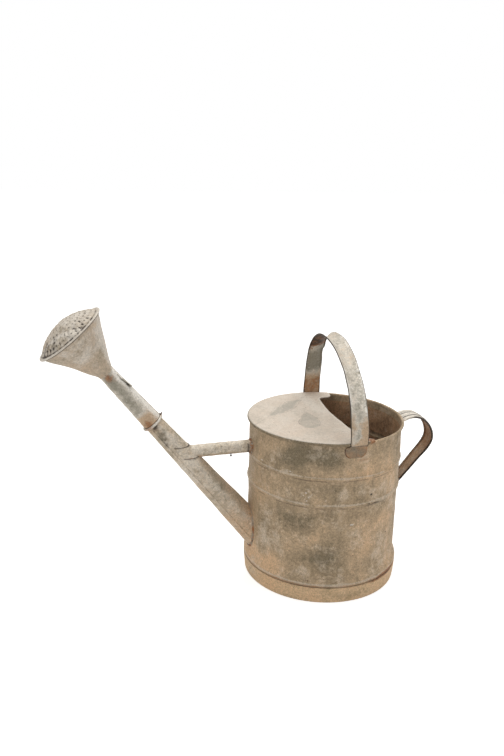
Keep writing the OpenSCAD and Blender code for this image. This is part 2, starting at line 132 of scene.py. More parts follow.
def piece(name, verts, faces, body, material, replaces=(), marks=None, crease=38):
    """A mesh object from points in millimetres, riding on a body. Its material reads marks, one per point."""
    mesh = bpy.data.meshes.new(name)
    mesh.from_pydata((np.asarray(verts, float) * MM).tolist(), [], [list(map(int, f)) for f in faces])
    bm = bmesh.new()
    bm.from_mesh(mesh)
    bmesh.ops.recalc_face_normals(bm, faces=bm.faces)
    for f in bm.faces:
        f.smooth = True
    limit = math.radians(crease)
    for e in bm.edges:
        e.smooth = len(e.link_faces) == 2 and e.calc_face_angle(0) < limit
    bm.to_mesh(mesh)
    bm.free()
    for key, values in (marks or {}).items():
        layer = mesh.attributes.new(key, "FLOAT", "POINT")
        layer.data.foreach_set("value", np.asarray(values, np.float32))
    obj = bpy.data.objects.new(name, mesh)
    bpy.context.scene.collection.objects.link(obj)
    mesh.materials.append(material)
    if replaces:
        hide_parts(*replaces)
    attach(obj, body)
    return obj


def plate(outline, holes, inner, hole_sides=12):
    """A flat plate's points and triangles in plan, from a closed outline and holes as (x, y, radius)."""
    points, edges = [tuple(p) for p in outline], []
    n = len(points)
    edges += [(i, (i + 1) % n) for i in range(n)]
    for x, y, r in holes:
        first = len(points)
        for k in range(hole_sides):
            a = 2 * math.pi * k / hole_sides
            points.append((x + r * math.cos(a), y + r * math.sin(a)))
        edges += [(first + k, first + (k + 1) % hole_sides) for k in range(hole_sides)]
    points += [tuple(p) for p in inner]
    found, _, tris, *_ = delaunay_2d_cdt([Vector(p) for p in points], edges, [], 1, 1e-5)
    found = np.array([tuple(v) for v in found])
    centres = np.array(holes) if len(holes) else np.zeros((0, 3))
    kept = []
    for t in tris:
        middle = found[list(t)].mean(axis=0)
        if len(centres) and (np.hypot(*(centres[:, :2] - middle).T) < 0.93 * centres[:, 2]).any():
            continue
        kept.append(tuple(t))
    return found, kept


def two_skins(top, bottom, tris):
    """A thin closed plate: a top skin, a bottom skin and the edges between them."""
    n = len(top)
    count = {}
    for t in tris:
        for a, b in zip(t, t[1:] + t[:1]):
            count[(a, b)] = count.get((a, b), 0) + 1
    faces = [tuple(t) for t in tris] + [tuple(n + i for i in reversed(t)) for t in tris]
    faces += [(b, a, n + a, n + b) for a, b in count if (b, a) not in count]
    return np.vstack([top, bottom]), faces


def end_caps(rows, cols):
    """The two end faces of a bar whose section runs down the rows of its grid."""
    return [tuple(i * cols for i in range(rows)), tuple(i * cols + cols - 1 for i in reversed(range(rows)))]


def two_sided(rows, cols):
    """Faces of a thin closed sheet whose points are a grid on one side, then the same grid on the other."""
    n = rows * cols
    faces = grid_faces(rows, cols)
    faces += [tuple(n + i for i in reversed(f)) for f in faces]
    rim = list(range(cols)) + [i * cols + cols - 1 for i in range(1, rows)]
    rim += [(rows - 1) * cols + j for j in range(cols - 2, -1, -1)]
    rim += [i * cols for i in range(rows - 2, 0, -1)]
    return faces + [(b, a, n + a, n + b) for a, b in zip(rim, rim[1:] + rim[:1])]


# ------------------------------------------------------------------ materials


class Graph:
    """Builds one material's nodes."""

    def __init__(self, name):
        self.material = bpy.data.materials.new(name)
        self.material.use_nodes = True
        self.tree = self.material.node_tree
        self.tree.nodes.clear()

    def node(self, kind, inputs=None, **values):
        n = self.tree.nodes.new(kind)
        for key, value in values.items():
            setattr(n, key, value)
        for key, value in (inputs or {}).items():
            self.put(n.inputs[key], value)
        return n

    def put(self, socket, value):
        if isinstance(value, bpy.types.NodeSocket):
            self.tree.links.new(value, socket)
        else:
            socket.default_value = value

    def place(self):
        return self.node("ShaderNodeTexCoord").outputs["Object"]

    def stretched(self, vector, scale):
        return self.node("ShaderNodeMapping", {"Vector": vector, "Scale": scale}).outputs["Vector"]

    def noise(self, vector, size, detail=5.0, rough=0.6, distortion=0.0):
        inputs = {"Vector": vector, "Scale": 1000.0 / size, "Detail": detail, "Roughness": rough}
        return self.node("ShaderNodeTexNoise", {**inputs, "Distortion": distortion}).outputs["Fac"]

    def mark(self, name):
        return self.node("ShaderNodeAttribute", attribute_name=name).outputs["Fac"]

    def inside(self, vector, centre, radii, ragged):
        """1 inside an ellipsoid given in millimetres. ragged is a noise that eats into its outline."""
        scale, shift = [1 / (r * MM) for r in radii], [-c / r for c, r in zip(centre, radii)]
        n = self.node("ShaderNodeMapping", {"Vector": vector, "Scale": scale, "Location": shift})
        length = self.node("ShaderNodeVectorMath", {0: n.outputs["Vector"]}, operation="LENGTH")
        off = self.add(length.outputs["Value"], self.swing(ragged, 1.6))
        return self.fade(off, 0.75, 1.15, 1.0, 0.0)

    def math(self, operation, a, b):
        return self.node("ShaderNodeMath", {0: a, 1: b}, operation=operation).outputs[0]

    def add(self, *terms):
        total = terms[0]
        for t in terms[1:]:
            total = self.math("ADD", total, t)
        return total

    def times(self, a, b):
        return self.math("MULTIPLY", a, b)

    def swing(self, value, amount):
        """A noise, which has its middle at 0.5, moved to have it at 0 and scaled."""
        return self.times(self.math("SUBTRACT", value, 0.5), amount)

    def fade(self, value, low, high, to_low=0.0, to_high=1.0):
        inputs = {"Value": value, "From Min": low, "From Max": high, "To Min": to_low, "To Max": to_high}
        return self.node("ShaderNodeMapRange", inputs, interpolation_type="SMOOTHSTEP").outputs["Result"]

    def ramp(self, value, stops):
        n = self.node("ShaderNodeValToRGB", {"Fac": value})
        ramp = n.color_ramp
        while len(ramp.elements) < len(stops):
            ramp.elements.new(0.5)
        for e, (at, colour) in zip(ramp.elements, stops):
            e.position = at
            e.color = (*colour, 1)
        return n.outputs["Color"]

    def mix(self, amount, a, b, blend="MIX"):
        n = self.node("ShaderNodeMix", {"Factor": amount}, data_type="RGBA", blend_type=blend)
        colours = [s for s in n.inputs if s.type == "RGBA"]
        self.put(colours[0], a if isinstance(a, bpy.types.NodeSocket) else (*a, 1))
        self.put(colours[1], b if isinstance(b, bpy.types.NodeSocket) else (*b, 1))
        return [s for s in n.outputs if s.type == "RGBA"][0]

    def bump(self, height, strength, distance):
        inputs = {"Height": height, "Strength": strength, "Distance": distance}
        return self.node("ShaderNodeBump", inputs).outputs["Normal"]

    def finish(self, colour, roughness, normal, metallic):
        inputs = {"Base Color": colour, "Roughness": roughness, "Metallic": metallic, "Normal": normal}
        shader = self.node("ShaderNodeBsdfPrincipled", inputs)
        self.node("ShaderNodeOutputMaterial", {"Surface": shader.outputs[0]})
        return self.material


RUST_DARK, RUST, RUST_LIGHT = (0.085, 0.036, 0.014), (0.30, 0.125, 0.045), (0.50, 0.27, 0.13)


def zinc(name, olive, mid, pale, tan, spread=1.0, grain=1.0, streaks=0.0, push=0.30, bloom_and_highlight_to=0.85, salt=1.0,
        nicks=(), metallic=0.22):
    """Galvanised steel that has weathered: cloudy patches, finer mottling, pale blooming of the zinc, rust
    and dark pits.
    It reads four marks on the mesh: tone (olive below 0, tan above), rust, pale (zinc blooming, and painted
    highlights) and soot (sooty dirt, and painted shade)."""
    g = Graph(name)
    p = g.place()
    broad = g.noise(p, 62, 4, 0.55, 0.7)
    cloud = g.noise(p, 19, 7, 0.66, 0.3)
    mottle = g.noise(p, 5.2, 6, 0.7)
    fine = g.noise(p, 1.3, 4, 0.7)
    grit = g.noise(p, 0.55, 2, 0.6)
    rain = g.noise(g.stretched(p, (1, 1, 0.14)), 9, 5, 0.6)
    tone = g.add(
        g.swing(broad, 0.9 * spread),
        g.swing(cloud, 1.0 * spread),
        g.swing(mottle, 0.55),
        g.swing(rain, streaks),
        g.times(g.mark("tone"), push),
        0.5,
    )
    colour = g.ramp(tone, [(0.18, olive), (0.50, mid), (0.82, tan)])
    # pale pulls the colour towards the pale colour: zinc blooming, and painted highlights where the marks put
    # them
    bloom_and_highlight = g.add(g.times(cloud, 0.55), g.times(mottle, 0.45), g.times(g.mark("pale"), 0.42))
    colour = g.mix(g.fade(bloom_and_highlight, 0.50, 0.78, 0, bloom_and_highlight_to), colour, pale)
    rusty = g.add(g.times(mottle, 0.5), g.times(cloud, 0.32), g.times(fine, 0.18),
        g.times(g.mark("rust"), 0.62))
    rust_colour = g.ramp(g.add(g.times(fine, 0.6), g.times(mottle, 0.4)),
        [(0.33, RUST_DARK), (0.5, RUST), (0.68, RUST_LIGHT)])
    colour = g.mix(g.fade(rusty, 0.66, 0.88, 0, 0.9), colour, rust_colour)
    # soot pulls the colour towards near black: sooty dirt, and painted shade where the marks put it
    colour = g.mix(g.fade(g.add(g.mark("soot"), g.swing(fine, 0.9)), 0.25, 0.95, 0, 0.93), colour,
        (0.035, 0.024, 0.016))
    # salt-and-pepper texture of old zinc
    specks = g.add(g.times(fine, 0.38), g.times(grit, 0.22), g.times(g.noise(p, 3.0, 3, 0.65), 0.40))
    colour = g.mix(salt, colour, g.ramp(specks, [(0.37, (0.62, 0.62, 0.62)), (0.5, (1.0, 1.0, 1.0)),
        (0.63, (1.36, 1.35, 1.32))]), "MULTIPLY")
    for centre, radii, nick_colour in nicks:
        colour = g.mix(g.inside(p, centre, radii, fine), colour, nick_colour)
    chips = g.fade(g.add(g.times(g.noise(p, 2.4, 3, 0.5), 0.75), g.times(cloud, 0.25)), 0.655, 0.69)
    colour = g.mix(g.times(chips, 0.6), colour, tuple(min(1, 1.25 * c) for c in pale))
    pits = g.fade(g.noise(g.stretched(p, (1.1, 0.9, 1.3)), 3.1, 3, 0.5), 0.695, 0.73)
    colour = g.mix(g.times(pits, 0.75), colour, RUST_DARK)
    rough = g.fade(g.add(g.times(cloud, 0.5), g.times(mottle, 0.5)), 0.3, 0.7, 0.78, 0.52)
    height = g.add(g.times(mottle, 0.45), g.times(fine, 0.4), g.times(grit, 0.15), g.times(pits, -0.5),
        g.times(chips, 0.15))
    normal = g.bump(height, 0.42 * grain, 0.0007)
    return g.finish(colour, rough, normal, metallic)


# small marks on the wall, too sharp for its mesh: middle, radii and colour
BLACK, BROWN, BARE = (0.012, 0.009, 0.007), (0.11, 0.055, 0.028), (0.66, 0.60, 0.52)
WALL_NICKS = [
    ((41.4, -112.6, 172.9), (1.9, 30, 1.3), BLACK), ((37.0, -114.2, 159.0), (3.0, 30, 0.9), BLACK),
    ((43.5, -111.8, 158.4), (1.0, 30, 0.5), BROWN),
    ((50.6, -108.8, 158.4), (5.6, 30, 1.0), BLACK), ((10.9, -119.5, 128.3), (3.2, 30, 1.2), BARE),
    ((77.1, -91.9, 97.0), (1.2, 30, 1.0), BLACK),
    ((33.5, -115.2, 93.9), (1.0, 30, 0.8), BROWN), ((-58.7, -104.6, 179.0), (1.5, 30, 1.1), BARE),
    ((-62.0, -102.7, 174.5), (0.9, 30, 0.8), BARE),
    ((-55.0, -106.6, 172.0), (0.8, 30, 0.8), BARE), ((-57.5, -105.3, 166.5), (1.3, 30, 0.9), BARE),
    ((-112.1, -42.8, 210.0), (1.2, 30, 0.9), BARE), ((-80.3, -89.2, 209.3), (1.3, 30, 0.8), BARE)]
WALL = zinc("zinc_wall", (0.215, 0.170, 0.106), (0.445, 0.332, 0.212), (0.64, 0.55, 0.44),
    (0.65, 0.450, 0.275), 0.42, 1.1, 0.34, 0.22, 0.60, 1.0, WALL_NICKS)
INSIDE = zinc("zinc_inside", (0.24, 0.145, 0.083), (0.47, 0.295, 0.172), (0.55, 0.45, 0.34),
    (0.52, 0.320, 0.190), 0.9, 1.2, 0.5, 0.25, 0.6)
COVER = zinc("zinc_cover", (0.470, 0.430, 0.365), (0.640, 0.560, 0.470), (0.74, 0.68, 0.60),
    (0.69, 0.560, 0.450), 0.30, 0.7, 0.0, 0.30, 0.6, 0.40)
STRAP = zinc("zinc_strap", (0.330, 0.305, 0.245), (0.640, 0.590, 0.510), (0.84, 0.81, 0.75),
    (0.54, 0.400, 0.270), 0.50, 1.0, 0.0, 0.30, 0.8, 0.8)
TAB = zinc("zinc_tab", (0.230, 0.200, 0.150), (0.285, 0.200, 0.125), (0.42, 0.34, 0.26),
    (0.40, 0.250, 0.145), 0.4, 1.0, 0.0, 0.30, 0.2, metallic=0.1)
REAR = zinc("zinc_rear", (0.330, 0.260, 0.190), (0.600, 0.535, 0.450), (0.80, 0.75, 0.67),
    (0.46, 0.320, 0.210), 0.5, 1.0)
TUBE = zinc("zinc_tube", (0.330, 0.290, 0.215), (0.540, 0.445, 0.330), (0.72, 0.66, 0.57),
    (0.60, 0.430, 0.280), 0.6, 1.0, 0.1)
ROSE = zinc("zinc_rose", (0.340, 0.300, 0.225), (0.510, 0.422, 0.320), (0.69, 0.64, 0.57),
    (0.58, 0.440, 0.310), 0.45, 0.8, 0.0, 0.30, 0.85, 0.8)
FOOT = zinc("zinc_foot", (0.380, 0.285, 0.170), (0.640, 0.465, 0.285), (0.70, 0.58, 0.44),
    (0.71, 0.480, 0.285), 0.6, 1.0, 0.0, 0.28, 0.5)


def wire_material():
    g = Graph("rusty_wire")
    p = g.place()
    cloud, fine = g.noise(p, 4, 5, 0.65), g.noise(p, 0.8, 3, 0.7)
    colour = g.ramp(g.add(g.times(cloud, 0.5), g.times(fine, 0.5)),
        [(0.32, (0.05, 0.028, 0.016)), (0.5, (0.16, 0.08, 0.04)), (0.7, (0.32, 0.18, 0.10))])
    return g.finish(colour, g.fade(fine, 0.3, 0.7, 0.9, 0.6), g.bump(fine, 0.5, 0.0004), 0.1)


def solder_material():
    g = Graph("solder")
    p = g.place()
    cloud, fine = g.noise(p, 6, 6, 0.65, 0.4), g.noise(p, 1.1, 4, 0.7)
    colour = g.ramp(g.add(g.times(cloud, 0.6), g.times(fine, 0.4)),
        [(0.33, (0.13, 0.10, 0.07)), (0.5, (0.34, 0.28, 0.21)), (0.68, (0.55, 0.50, 0.43))])
    rusty = g.fade(g.add(g.times(fine, 0.4), g.times(cloud, 0.6), g.times(g.mark("rust"), 0.5)), 0.62, 0.8)
    colour = g.mix(rusty, colour, RUST)
    return g.finish(colour, g.fade(cloud, 0.3, 0.7, 0.75, 0.45),
        g.bump(g.add(g.times(cloud, 0.7), g.times(fine, 0.3)), 0.6, 0.0008), 0.3)


WIRE = wire_material()
SOLDER = solder_material()

# ------------------------------------------------------------------ the can's wall


def flare(z):
    return np.where(z <= FOOT_H + FLARE_FLAT, FLARE_OUT,
        np.where(z >= FOOT_H + FLARE_H, 0.0,
        FLARE_OUT * (1 + np.cos(np.pi * (z - FOOT_H - FLARE_FLAT) / (FLARE_H - FLARE_FLAT))) / 2))


def wall_r(z):
    return BODY_R + flare(z) + sum(BEAD_OUT * bump(z, b, BEAD_W) for b in BEADS)


# where other pieces sit on the wall, so that it keeps its shape: turn, height, size round and upwards
KEEP = [(180, 82, 50, 45), (180, 217, 20, 20), (84, 245, 30, 22), (-84, 245, 30, 22), (0, 232, 30, 20),
    (0, 128, 30, 20)]
# dents: turn, height, size round and upwards, depth
DENTS = [(-69.8, 172.9, 4, 4, 0.8), (-70, 159, 9, 4, 0.9), (-84.8, 128.3, 6, 4, 0.5),
    (-150, 60, 26, 20, 1.2), (-112, 100, 30, 26, 0.9), (-60, 92, 26, 22, 0.8), (-118, 178, 14, 12, 0.5),
    (60, 110, 34, 28, 1.4), (150, 140, 30, 24, 1.2), (20, 185, 18, 20, 0.8)]


def wall_dents(points, z):
    """How far the sheet has been pushed in or out, in millimetres."""
    d = 0.85 * fbm(points, 62, 1) + 0.28 * fbm(points, 21, 2) - patches(points, DENTS)
    fade = smooth((z - 30) / 14) * smooth((250 - z) / 14)
    for turn, at, wide, tall in KEEP:
        fade = fade * (1 - 0.85 * spot(points, on_wall(turn, at), (wide, wide, tall), 4))
    return d * fade


def arc(centre, r, start, end, n):
    a = np.radians(np.linspace(start, end, n + 1))
    return np.stack([centre[0] + r * np.cos(a), centre[1] + r * np.sin(a)], axis=1)


# the wall's large patches of colour, as patches() takes them
WALL_TONE = [
    (-127, 237, 22, 16, -1.5), (-112, 240, 24, 16, -1.5), (-100, 236, 18, 18, -1.2),
    (-135, 225, 18, 14, -0.6), (-125, 185, 26, 14, -0.7), (-100, 187, 18, 10, -0.6),
    (-60, 224, 30, 20, 1.0), (-49, 184, 26, 26, 1.0), (-76, 209, 20, 12, 0.7), (-64, 94, 26, 28, 1.2),
    (-50, 60, 26, 24, 0.8), (-175, 45, 24, 16, 2.4), (-155, 40, 34, 12, 1.8), (-146, 55, 12, 12, 1.2),
    (-45, 128, 16, 40, 1.0), (-58, 128, 20, 16, 1.0), (-128, 150, 20, 8, 0.6),
    (-130, 146, 26, 16, -0.8), (-121, 126, 22, 18, -0.9), (-100, 83, 26, 22, -1.0), (-113, 70, 34, 18, -0.8),
    (-106, 122, 14, 14, 0.9), (-111, 104, 12, 10, 0.8), (-150, 120, 26, 22, -0.2)]
WALL_PALE = [(-84.3, 126.8, 3.0, 1.3, 2.2), (-62, 170, 20, 30, 0.3), (-150, 90, 30, 40, 0.35),
    (-60, 80, 30, 40, 0.25)]
WALL_RUST = [(-108, 113, 9, 6, 0.24), (-111, 103, 7, 6, 0.24), (-103, 124, 8, 5, 0.2),
    (-165, 52, 18, 14, 0.25), (-70, 159, 10, 3, 0.25), (-64, 95, 14, 16, 0.35), (-175, 48, 14, 12, 0.3),
    (180, 217, 19, 19, 0.6), (-80, 233, 24, 6, 0.4), (-47, 28, 30, 5, 0.5)]
# flecks of bare zinc where the can has been knocked: turn, height and size
FLECKS = [(-119, 179, 9), (-133, 210, 7), (-147, 214, 5), (-105, 171, 8)]


def wall():
    heights = np.unique(np.round(np.concatenate([
        [FOOT_H + GAP], np.linspace(28.5, 46, 12), np.linspace(46, 154.5, 30), np.linspace(154.5, 165.5, 13),
        np.linspace(165.5, 198, 9), np.linspace(198, 209, 13), np.linspace(209, 256, 13), [RIM_Z]]), 3))
    outer = np.stack([wall_r(heights), heights], axis=1)
    inner = np.stack([wall_r(heights) - SHEET, heights], axis=1)
    profile = np.vstack([
        outer[:-1], [[BODY_R, RIM_Z - 2.0]], arc((RIM_R, RIM_Z), ROLL_IN, 180, -100, 14),
        arc((RIM_R, RIM_Z), ROLL_OUT, -100, 180, 18), inner[::-1][1:]])
    lap_from, lap_to = 32.0, 36.3
    turns = np.unique(np.concatenate([np.linspace(-180, 180, 289)[:-1],
        [lap_from, lap_from + 0.12, lap_to, lap_to + 0.12]]))
    cols = len(turns)
    a = np.radians(turns)
    r = profile[:, 0][:, None] * np.ones(cols)
    z = profile[:, 1][:, None] * np.ones(cols)
    flat = upright(BODY_R, tiled(a, z), z).reshape(-1, 3)
    d = wall_dents(flat, flat[:, 2]).reshape(z.shape)
    is_outer = np.zeros(len(profile), bool)
    is_outer[: len(outer)] = True
    lap = (((turns > lap_from + 0.05) & (turns < lap_to + 0.05))[None, :] * is_outer[:, None] * (z > 46)
        * (z < 250))
    r = r + d + 0.8 * lap
    points = upright(r, a, z).reshape(-1, 3)
    faces = grid_faces(len(profile), cols, True, True)
    # the hole that the spout opens through
    middle = points[np.array(faces)].mean(axis=1)
    rel = middle - SPOUT_O
    away = np.linalg.norm(rel - np.outer(rel @ ALONG, ALONG), axis=1)
    hole_r = 19
    faces = [f for f, far, x in zip(faces, away, middle[:, 0]) if not (far < hole_r and x < 0)]
    skin = np.repeat(np.arange(len(profile)) < len(outer), cols)
    zz = points[:, 2]
    tone = 0.55 * fbm(flat, 70, 5) - 0.1 + patches(flat, WALL_TONE)
    # pale: zinc blooming and patches, plus painted highlights: a line on the flare's lower edge at 30.5 and
    # lines on the beads' upper sides
    pale = (0.35 * fbm(flat, 34, 6) + 0.9 * hill(zz - 30.5, 2.0)
        + 0.75 * (hill(zz - 161.8, 1.2) + hill(zz - 205.3, 1.2)) * smooth(1.0 + fbm(flat, 40, 8))
        + patches(flat, WALL_PALE))
    for turn, at, wide in FLECKS:
        pale = pale + 0.9 * spot(flat, on_wall(turn, at), wide) * smooth(fbm(flat, 3.4, 9) * 3)
    rust = (0.12 * fbm(flat, 40, 7) + 0.45 * hill(zz - 28.5, 2.2) + 0.2 * hill(zz - 153, 2.5)
        + patches(flat, WALL_RUST))
    # all painted shade: a shadow line under the flare's edge at the foot seam, dark lines on the beads' lower
    # sides and a shadow line under the rim's roll
    soot = (0.70 * hill(zz - 27.1, 0.6) + 0.70 * (hill(zz - 156.2, 1.3) + hill(zz - 199.7, 1.3))
        * smooth(0.85 + fbm(flat, 24, 10)) + 0.5 * hill(zz - 255.6, 1.0))
    obj = piece("can_wall", points, faces, "can", WALL, ["body_wall"],
        {"tone": tone, "pale": pale, "rust": rust, "soot": soot})
    obj.data.materials.append(INSIDE)
    inside = ~skin & (np.repeat(profile[:, 0], cols) < BODY_R - 0.5 + flare(zz)) & (zz < 250)
    which = np.array([1 if inside[list(p.vertices)].all() else 0 for p in obj.data.polygons], np.int32)
    obj.data.polygons.foreach_set("material_index", which)


wall()

# ------------------------------------------------------------------ pieces round an axis


def turned_shell(profile, turns, place, offset):
    """A closed profile (radius, along) turned round an axis. place(r, turn, along) gives each point."""
    cols = len(turns)
    a = np.radians(turns)
    r = profile[:, 0][:, None] * np.ones(cols)
    s = profile[:, 1][:, None] * np.ones(cols)
    r = r + offset(r, tiled(a, r), s)
    points = place(r, tiled(a, r), s).reshape(-1, 3)
    return points, grid_faces(len(profile), cols, True, True), s


def at_spout(turn, s, r):
    a = math.radians(turn)
    return SPOUT_O + s * ALONG + r * math.cos(a) * TOPWARD + r * math.sin(a) * SIDEWARD


def full_turn(n, extra=()):
    return np.unique(np.concatenate([np.linspace(-180, 180, n + 1)[:-1], extra]))


def foot():
    top, low = FOOT_H - SHEET - GAP, BODY_R + FLARE_OUT - 2.2
    out = BODY_R + FLARE_OUT
    side = np.linspace(0, 1, 14)
    outer = np.stack([low + (out - low) * side, 0.35 + (top - 0.35) * side], axis=1)
    profile = np.vstack([[[low - 0.25, 0.0]], outer,
        [[out - 4, top], [out - 4, top - SHEET], [out - 1.5 * SHEET, top - SHEET]],
                         [[low - SHEET + 0.6, 15], [low - SHEET, 6], [low - 1.4 * SHEET, 5.6],
                         [low - 2 * SHEET, 5], [low - 2 * SHEET, 0.3], [low - 1.8 * SHEET, 0.0]]])

    def offset(r, a, s):
        d = 0.55 * fbm(upright(r, a, s).reshape(-1, 3), 38, 11).reshape(r.shape)
        return d * (smooth(s / 4) * smooth((25 - s) / 5))

    points, faces, _ = turned_shell(profile, full_turn(256), upright, offset)
    z = points[:, 2]
    tone = (0.2 + 0.7 * fbm(points, 45, 12) - 0.9 * spot(points, on_wall(-85, 12), (26, 26, 7))
        + 0.5 * spot(points, on_wall(-150, 10), (40, 40, 14)))
    rust = 0.1 * fbm(points, 30, 13) + 0.35 * hill(z - 25, 2.2) + 0.45 * spot(points, on_wall(-52, 24),
        (36, 36, 4)) + 0.15 * hill(z, 2.0)
    # the line at 26.3 is painted shadow under the wall's flare; the rest darkens rust specks along the seam
    # and the bottom edge
    soot = 0.7 * hill(z - 26.3, 0.8) + 0.75 * hill(z - 24.6, 1.0) * spot(points, on_wall(-52, 24),
        (50, 50, 9)) * smooth(fbm(points, 5, 15) * 3 + 0.3) + 0.5 * hill(z, 0.8)
    pale = 0.1 * fbm(points, 24, 14) + 0.35 * spot(points, on_wall(-165, 12), (30, 30, 10))
    piece("foot_ring", points, faces, "can", FOOT, ["foot_band"],
        {"tone": tone, "rust": rust, "soot": soot, "pale": pale})


foot()


SPOUT_ROOT_R, SPOUT_TIP_R, SPOUT_TIP_S = 22.85, 14.3, 267  # its tip is inside the rose's socket


def spout_r(s):
    return SPOUT_ROOT_R - (SPOUT_ROOT_R - SPOUT_TIP_R) / SPOUT_LEN * s


def wall_cut(r, a, along, origin, one, two):
    """How far along its axis each line of a tube meets the can's wall. r(s) is the tube's radius."""
    s = np.zeros_like(a)
    for _ in range(30):
        p = tube_points(origin, along, one, two, r(s), a, s)
        off = np.hypot(p[..., 0], p[..., 1]) - BODY_R - GAP
        s = s - off / (p[..., 0] * along[0] / np.hypot(p[..., 0], p[..., 1]))
    return s


# smoke marks along the spout: turn, distance, size and how black
SPOUT_SMOKE = [(-97, 232, 8, 0.70), (-90, 221, 10, 0.66), (-99, 211, 9, 0.6), (-112, 201, 7, 0.6),
    (-70, 88, 7, 0.35), (-105, 150, 5, 0.4)]


def spout():
    seam, seam_end = -128.0, SPOUT_LEN - 4
    half = 9 / SPOUT_ROOT_R * 90 / math.pi
    turns = full_turn(120, [seam - half, seam - half + 0.4, seam + half, seam + half + 0.4])
    a = np.radians(turns)
    start = wall_cut(spout_r, a, ALONG, SPOUT_O, TOPWARD, SIDEWARD)
    rows = np.concatenate([[0, 0.002, 0.005, 0.009, 0.014, 0.02, 0.03], np.linspace(0.045, 1, 74)])
    s_out = start[None, :] + (SPOUT_TIP_S - start)[None, :] * rows[:, None]
    on_seam = ((turns > seam - half + 0.2) & (turns < seam + half + 0.2))[None, :] * (s_out < seam_end)
    flat = on_spout(spout_r(s_out), tiled(a, s_out), s_out).reshape(-1, 3)
    dents = (0.35 * fbm(flat, 34, 21).reshape(s_out.shape) * smooth(rows[:, None] * 12)
        * smooth((228 - s_out) / 20))
    dents = (dents - 0.5 * spot(flat, at_spout(-60, 120, 19), 16).reshape(s_out.shape)
        - 0.35 * spot(flat, at_spout(-100, 200, 16), 12).reshape(s_out.shape))
    r_out = spout_r(s_out) + dents + 0.7 * on_seam
    r_in = spout_r(s_out) - SHEET + dents
    aa = tiled(a, s_out)
    points = np.vstack([on_spout(r_out, aa, s_out).reshape(-1, 3),
        on_spout(r_in[::-1], aa, s_out[::-1]).reshape(-1, 3)])
    faces = grid_faces(2 * len(rows), len(turns), True, True)
    s = np.concatenate([s_out.reshape(-1), s_out[::-1].reshape(-1)])
    t = np.concatenate([np.degrees(aa).reshape(-1), np.degrees(aa[::-1]).reshape(-1)])
    tone = (0.7 * fbm(points, 40, 22) + 0.9 * hill(s - 20, 40)
        - 0.8 * spot(points, at_spout(-70, 85, 19), (16, 10, 16))
        - 1.3 * spot(points, at_spout(-95, 215, 15), (11, 12, 16))
        + 0.5 * spot(points, at_spout(-90, 225, 15), 14))
    # the stripe at turn -70 along the whole tube is a painted highlight; the rest is paler zinc
    pale = 0.2 * fbm(points, 26, 23) + 0.35 * hill(s - 150, 70) + 0.3 * hill(t + 70, 16)
    rust = (0.08 * fbm(points, 20, 24) + 0.35 * hill(s - 5, 6)
        + 0.25 * spot(points, at_spout(-128, 215, 15), 12) + 0.15 * hill(s - 234, 6))
    smoke = np.max([much * spot(points, at_spout(turn, at, 15), wide)
        for turn, at, wide, much in SPOUT_SMOKE], axis=0)
    line = hill(t - (seam + half), 2.2) + 0.6 * hill(t - (seam - half), 2.2)
    start_all = np.concatenate([np.tile(start, len(rows)), np.tile(start, len(rows))])
    soot = (0.22 * line * (s < seam_end) + 0.9 * hill(s - start_all, 1.2)
        + smoke * smooth(1.0 + 0.9 * fbm(points, 8, 27)) + 0.6 * hill(s - 235.5, 1.4))
    piece("spout_shell", points, faces, "can", TUBE, ["spout_tube"],
        {"tone": tone, "pale": pale, "rust": rust, "soot": soot})
    # solder round the root: a lumpy fillet between spout and wall
    n = 200
    a = np.radians(np.linspace(0, 360, n + 1)[:-1])
    root = wall_cut(spout_r, a, ALONG, SPOUT_O, TOPWARD, SIDEWARD)
    base = on_spout(spout_r(root), a, root)
    outward = (np.cos(a)[:, None] * TOPWARD + np.sin(a)[:, None] * SIDEWARD)
    normal = base * [1, 1, 0] / np.linalg.norm(base[:, :2], axis=1)[:, None]
    lump = 1 + 0.45 * fbm(base, 7, 25)
    rings = []
    for across, up in [(-0.6, -0.3), (2.3, -0.25), (2.0, 0.22), (1.2, 0.75), (0.55, 1.5), (0.1, 2.5),
            (-0.6, 2.5)]:
        tangent = outward - (outward * normal).sum(axis=1)[:, None] * normal
        rings.append(base + tangent * across * lump[:, None] + normal * 0.1 + (up * lump)[:, None]
            * (0.6 * normal + 0.4 * ALONG))
    points = np.vstack(rings)
    piece("spout_solder", points, grid_faces(7, n, True, True), "can", SOLDER, (),
        {"rust": 0.5 * fbm(points, 12, 26) + 0.3})


spout()


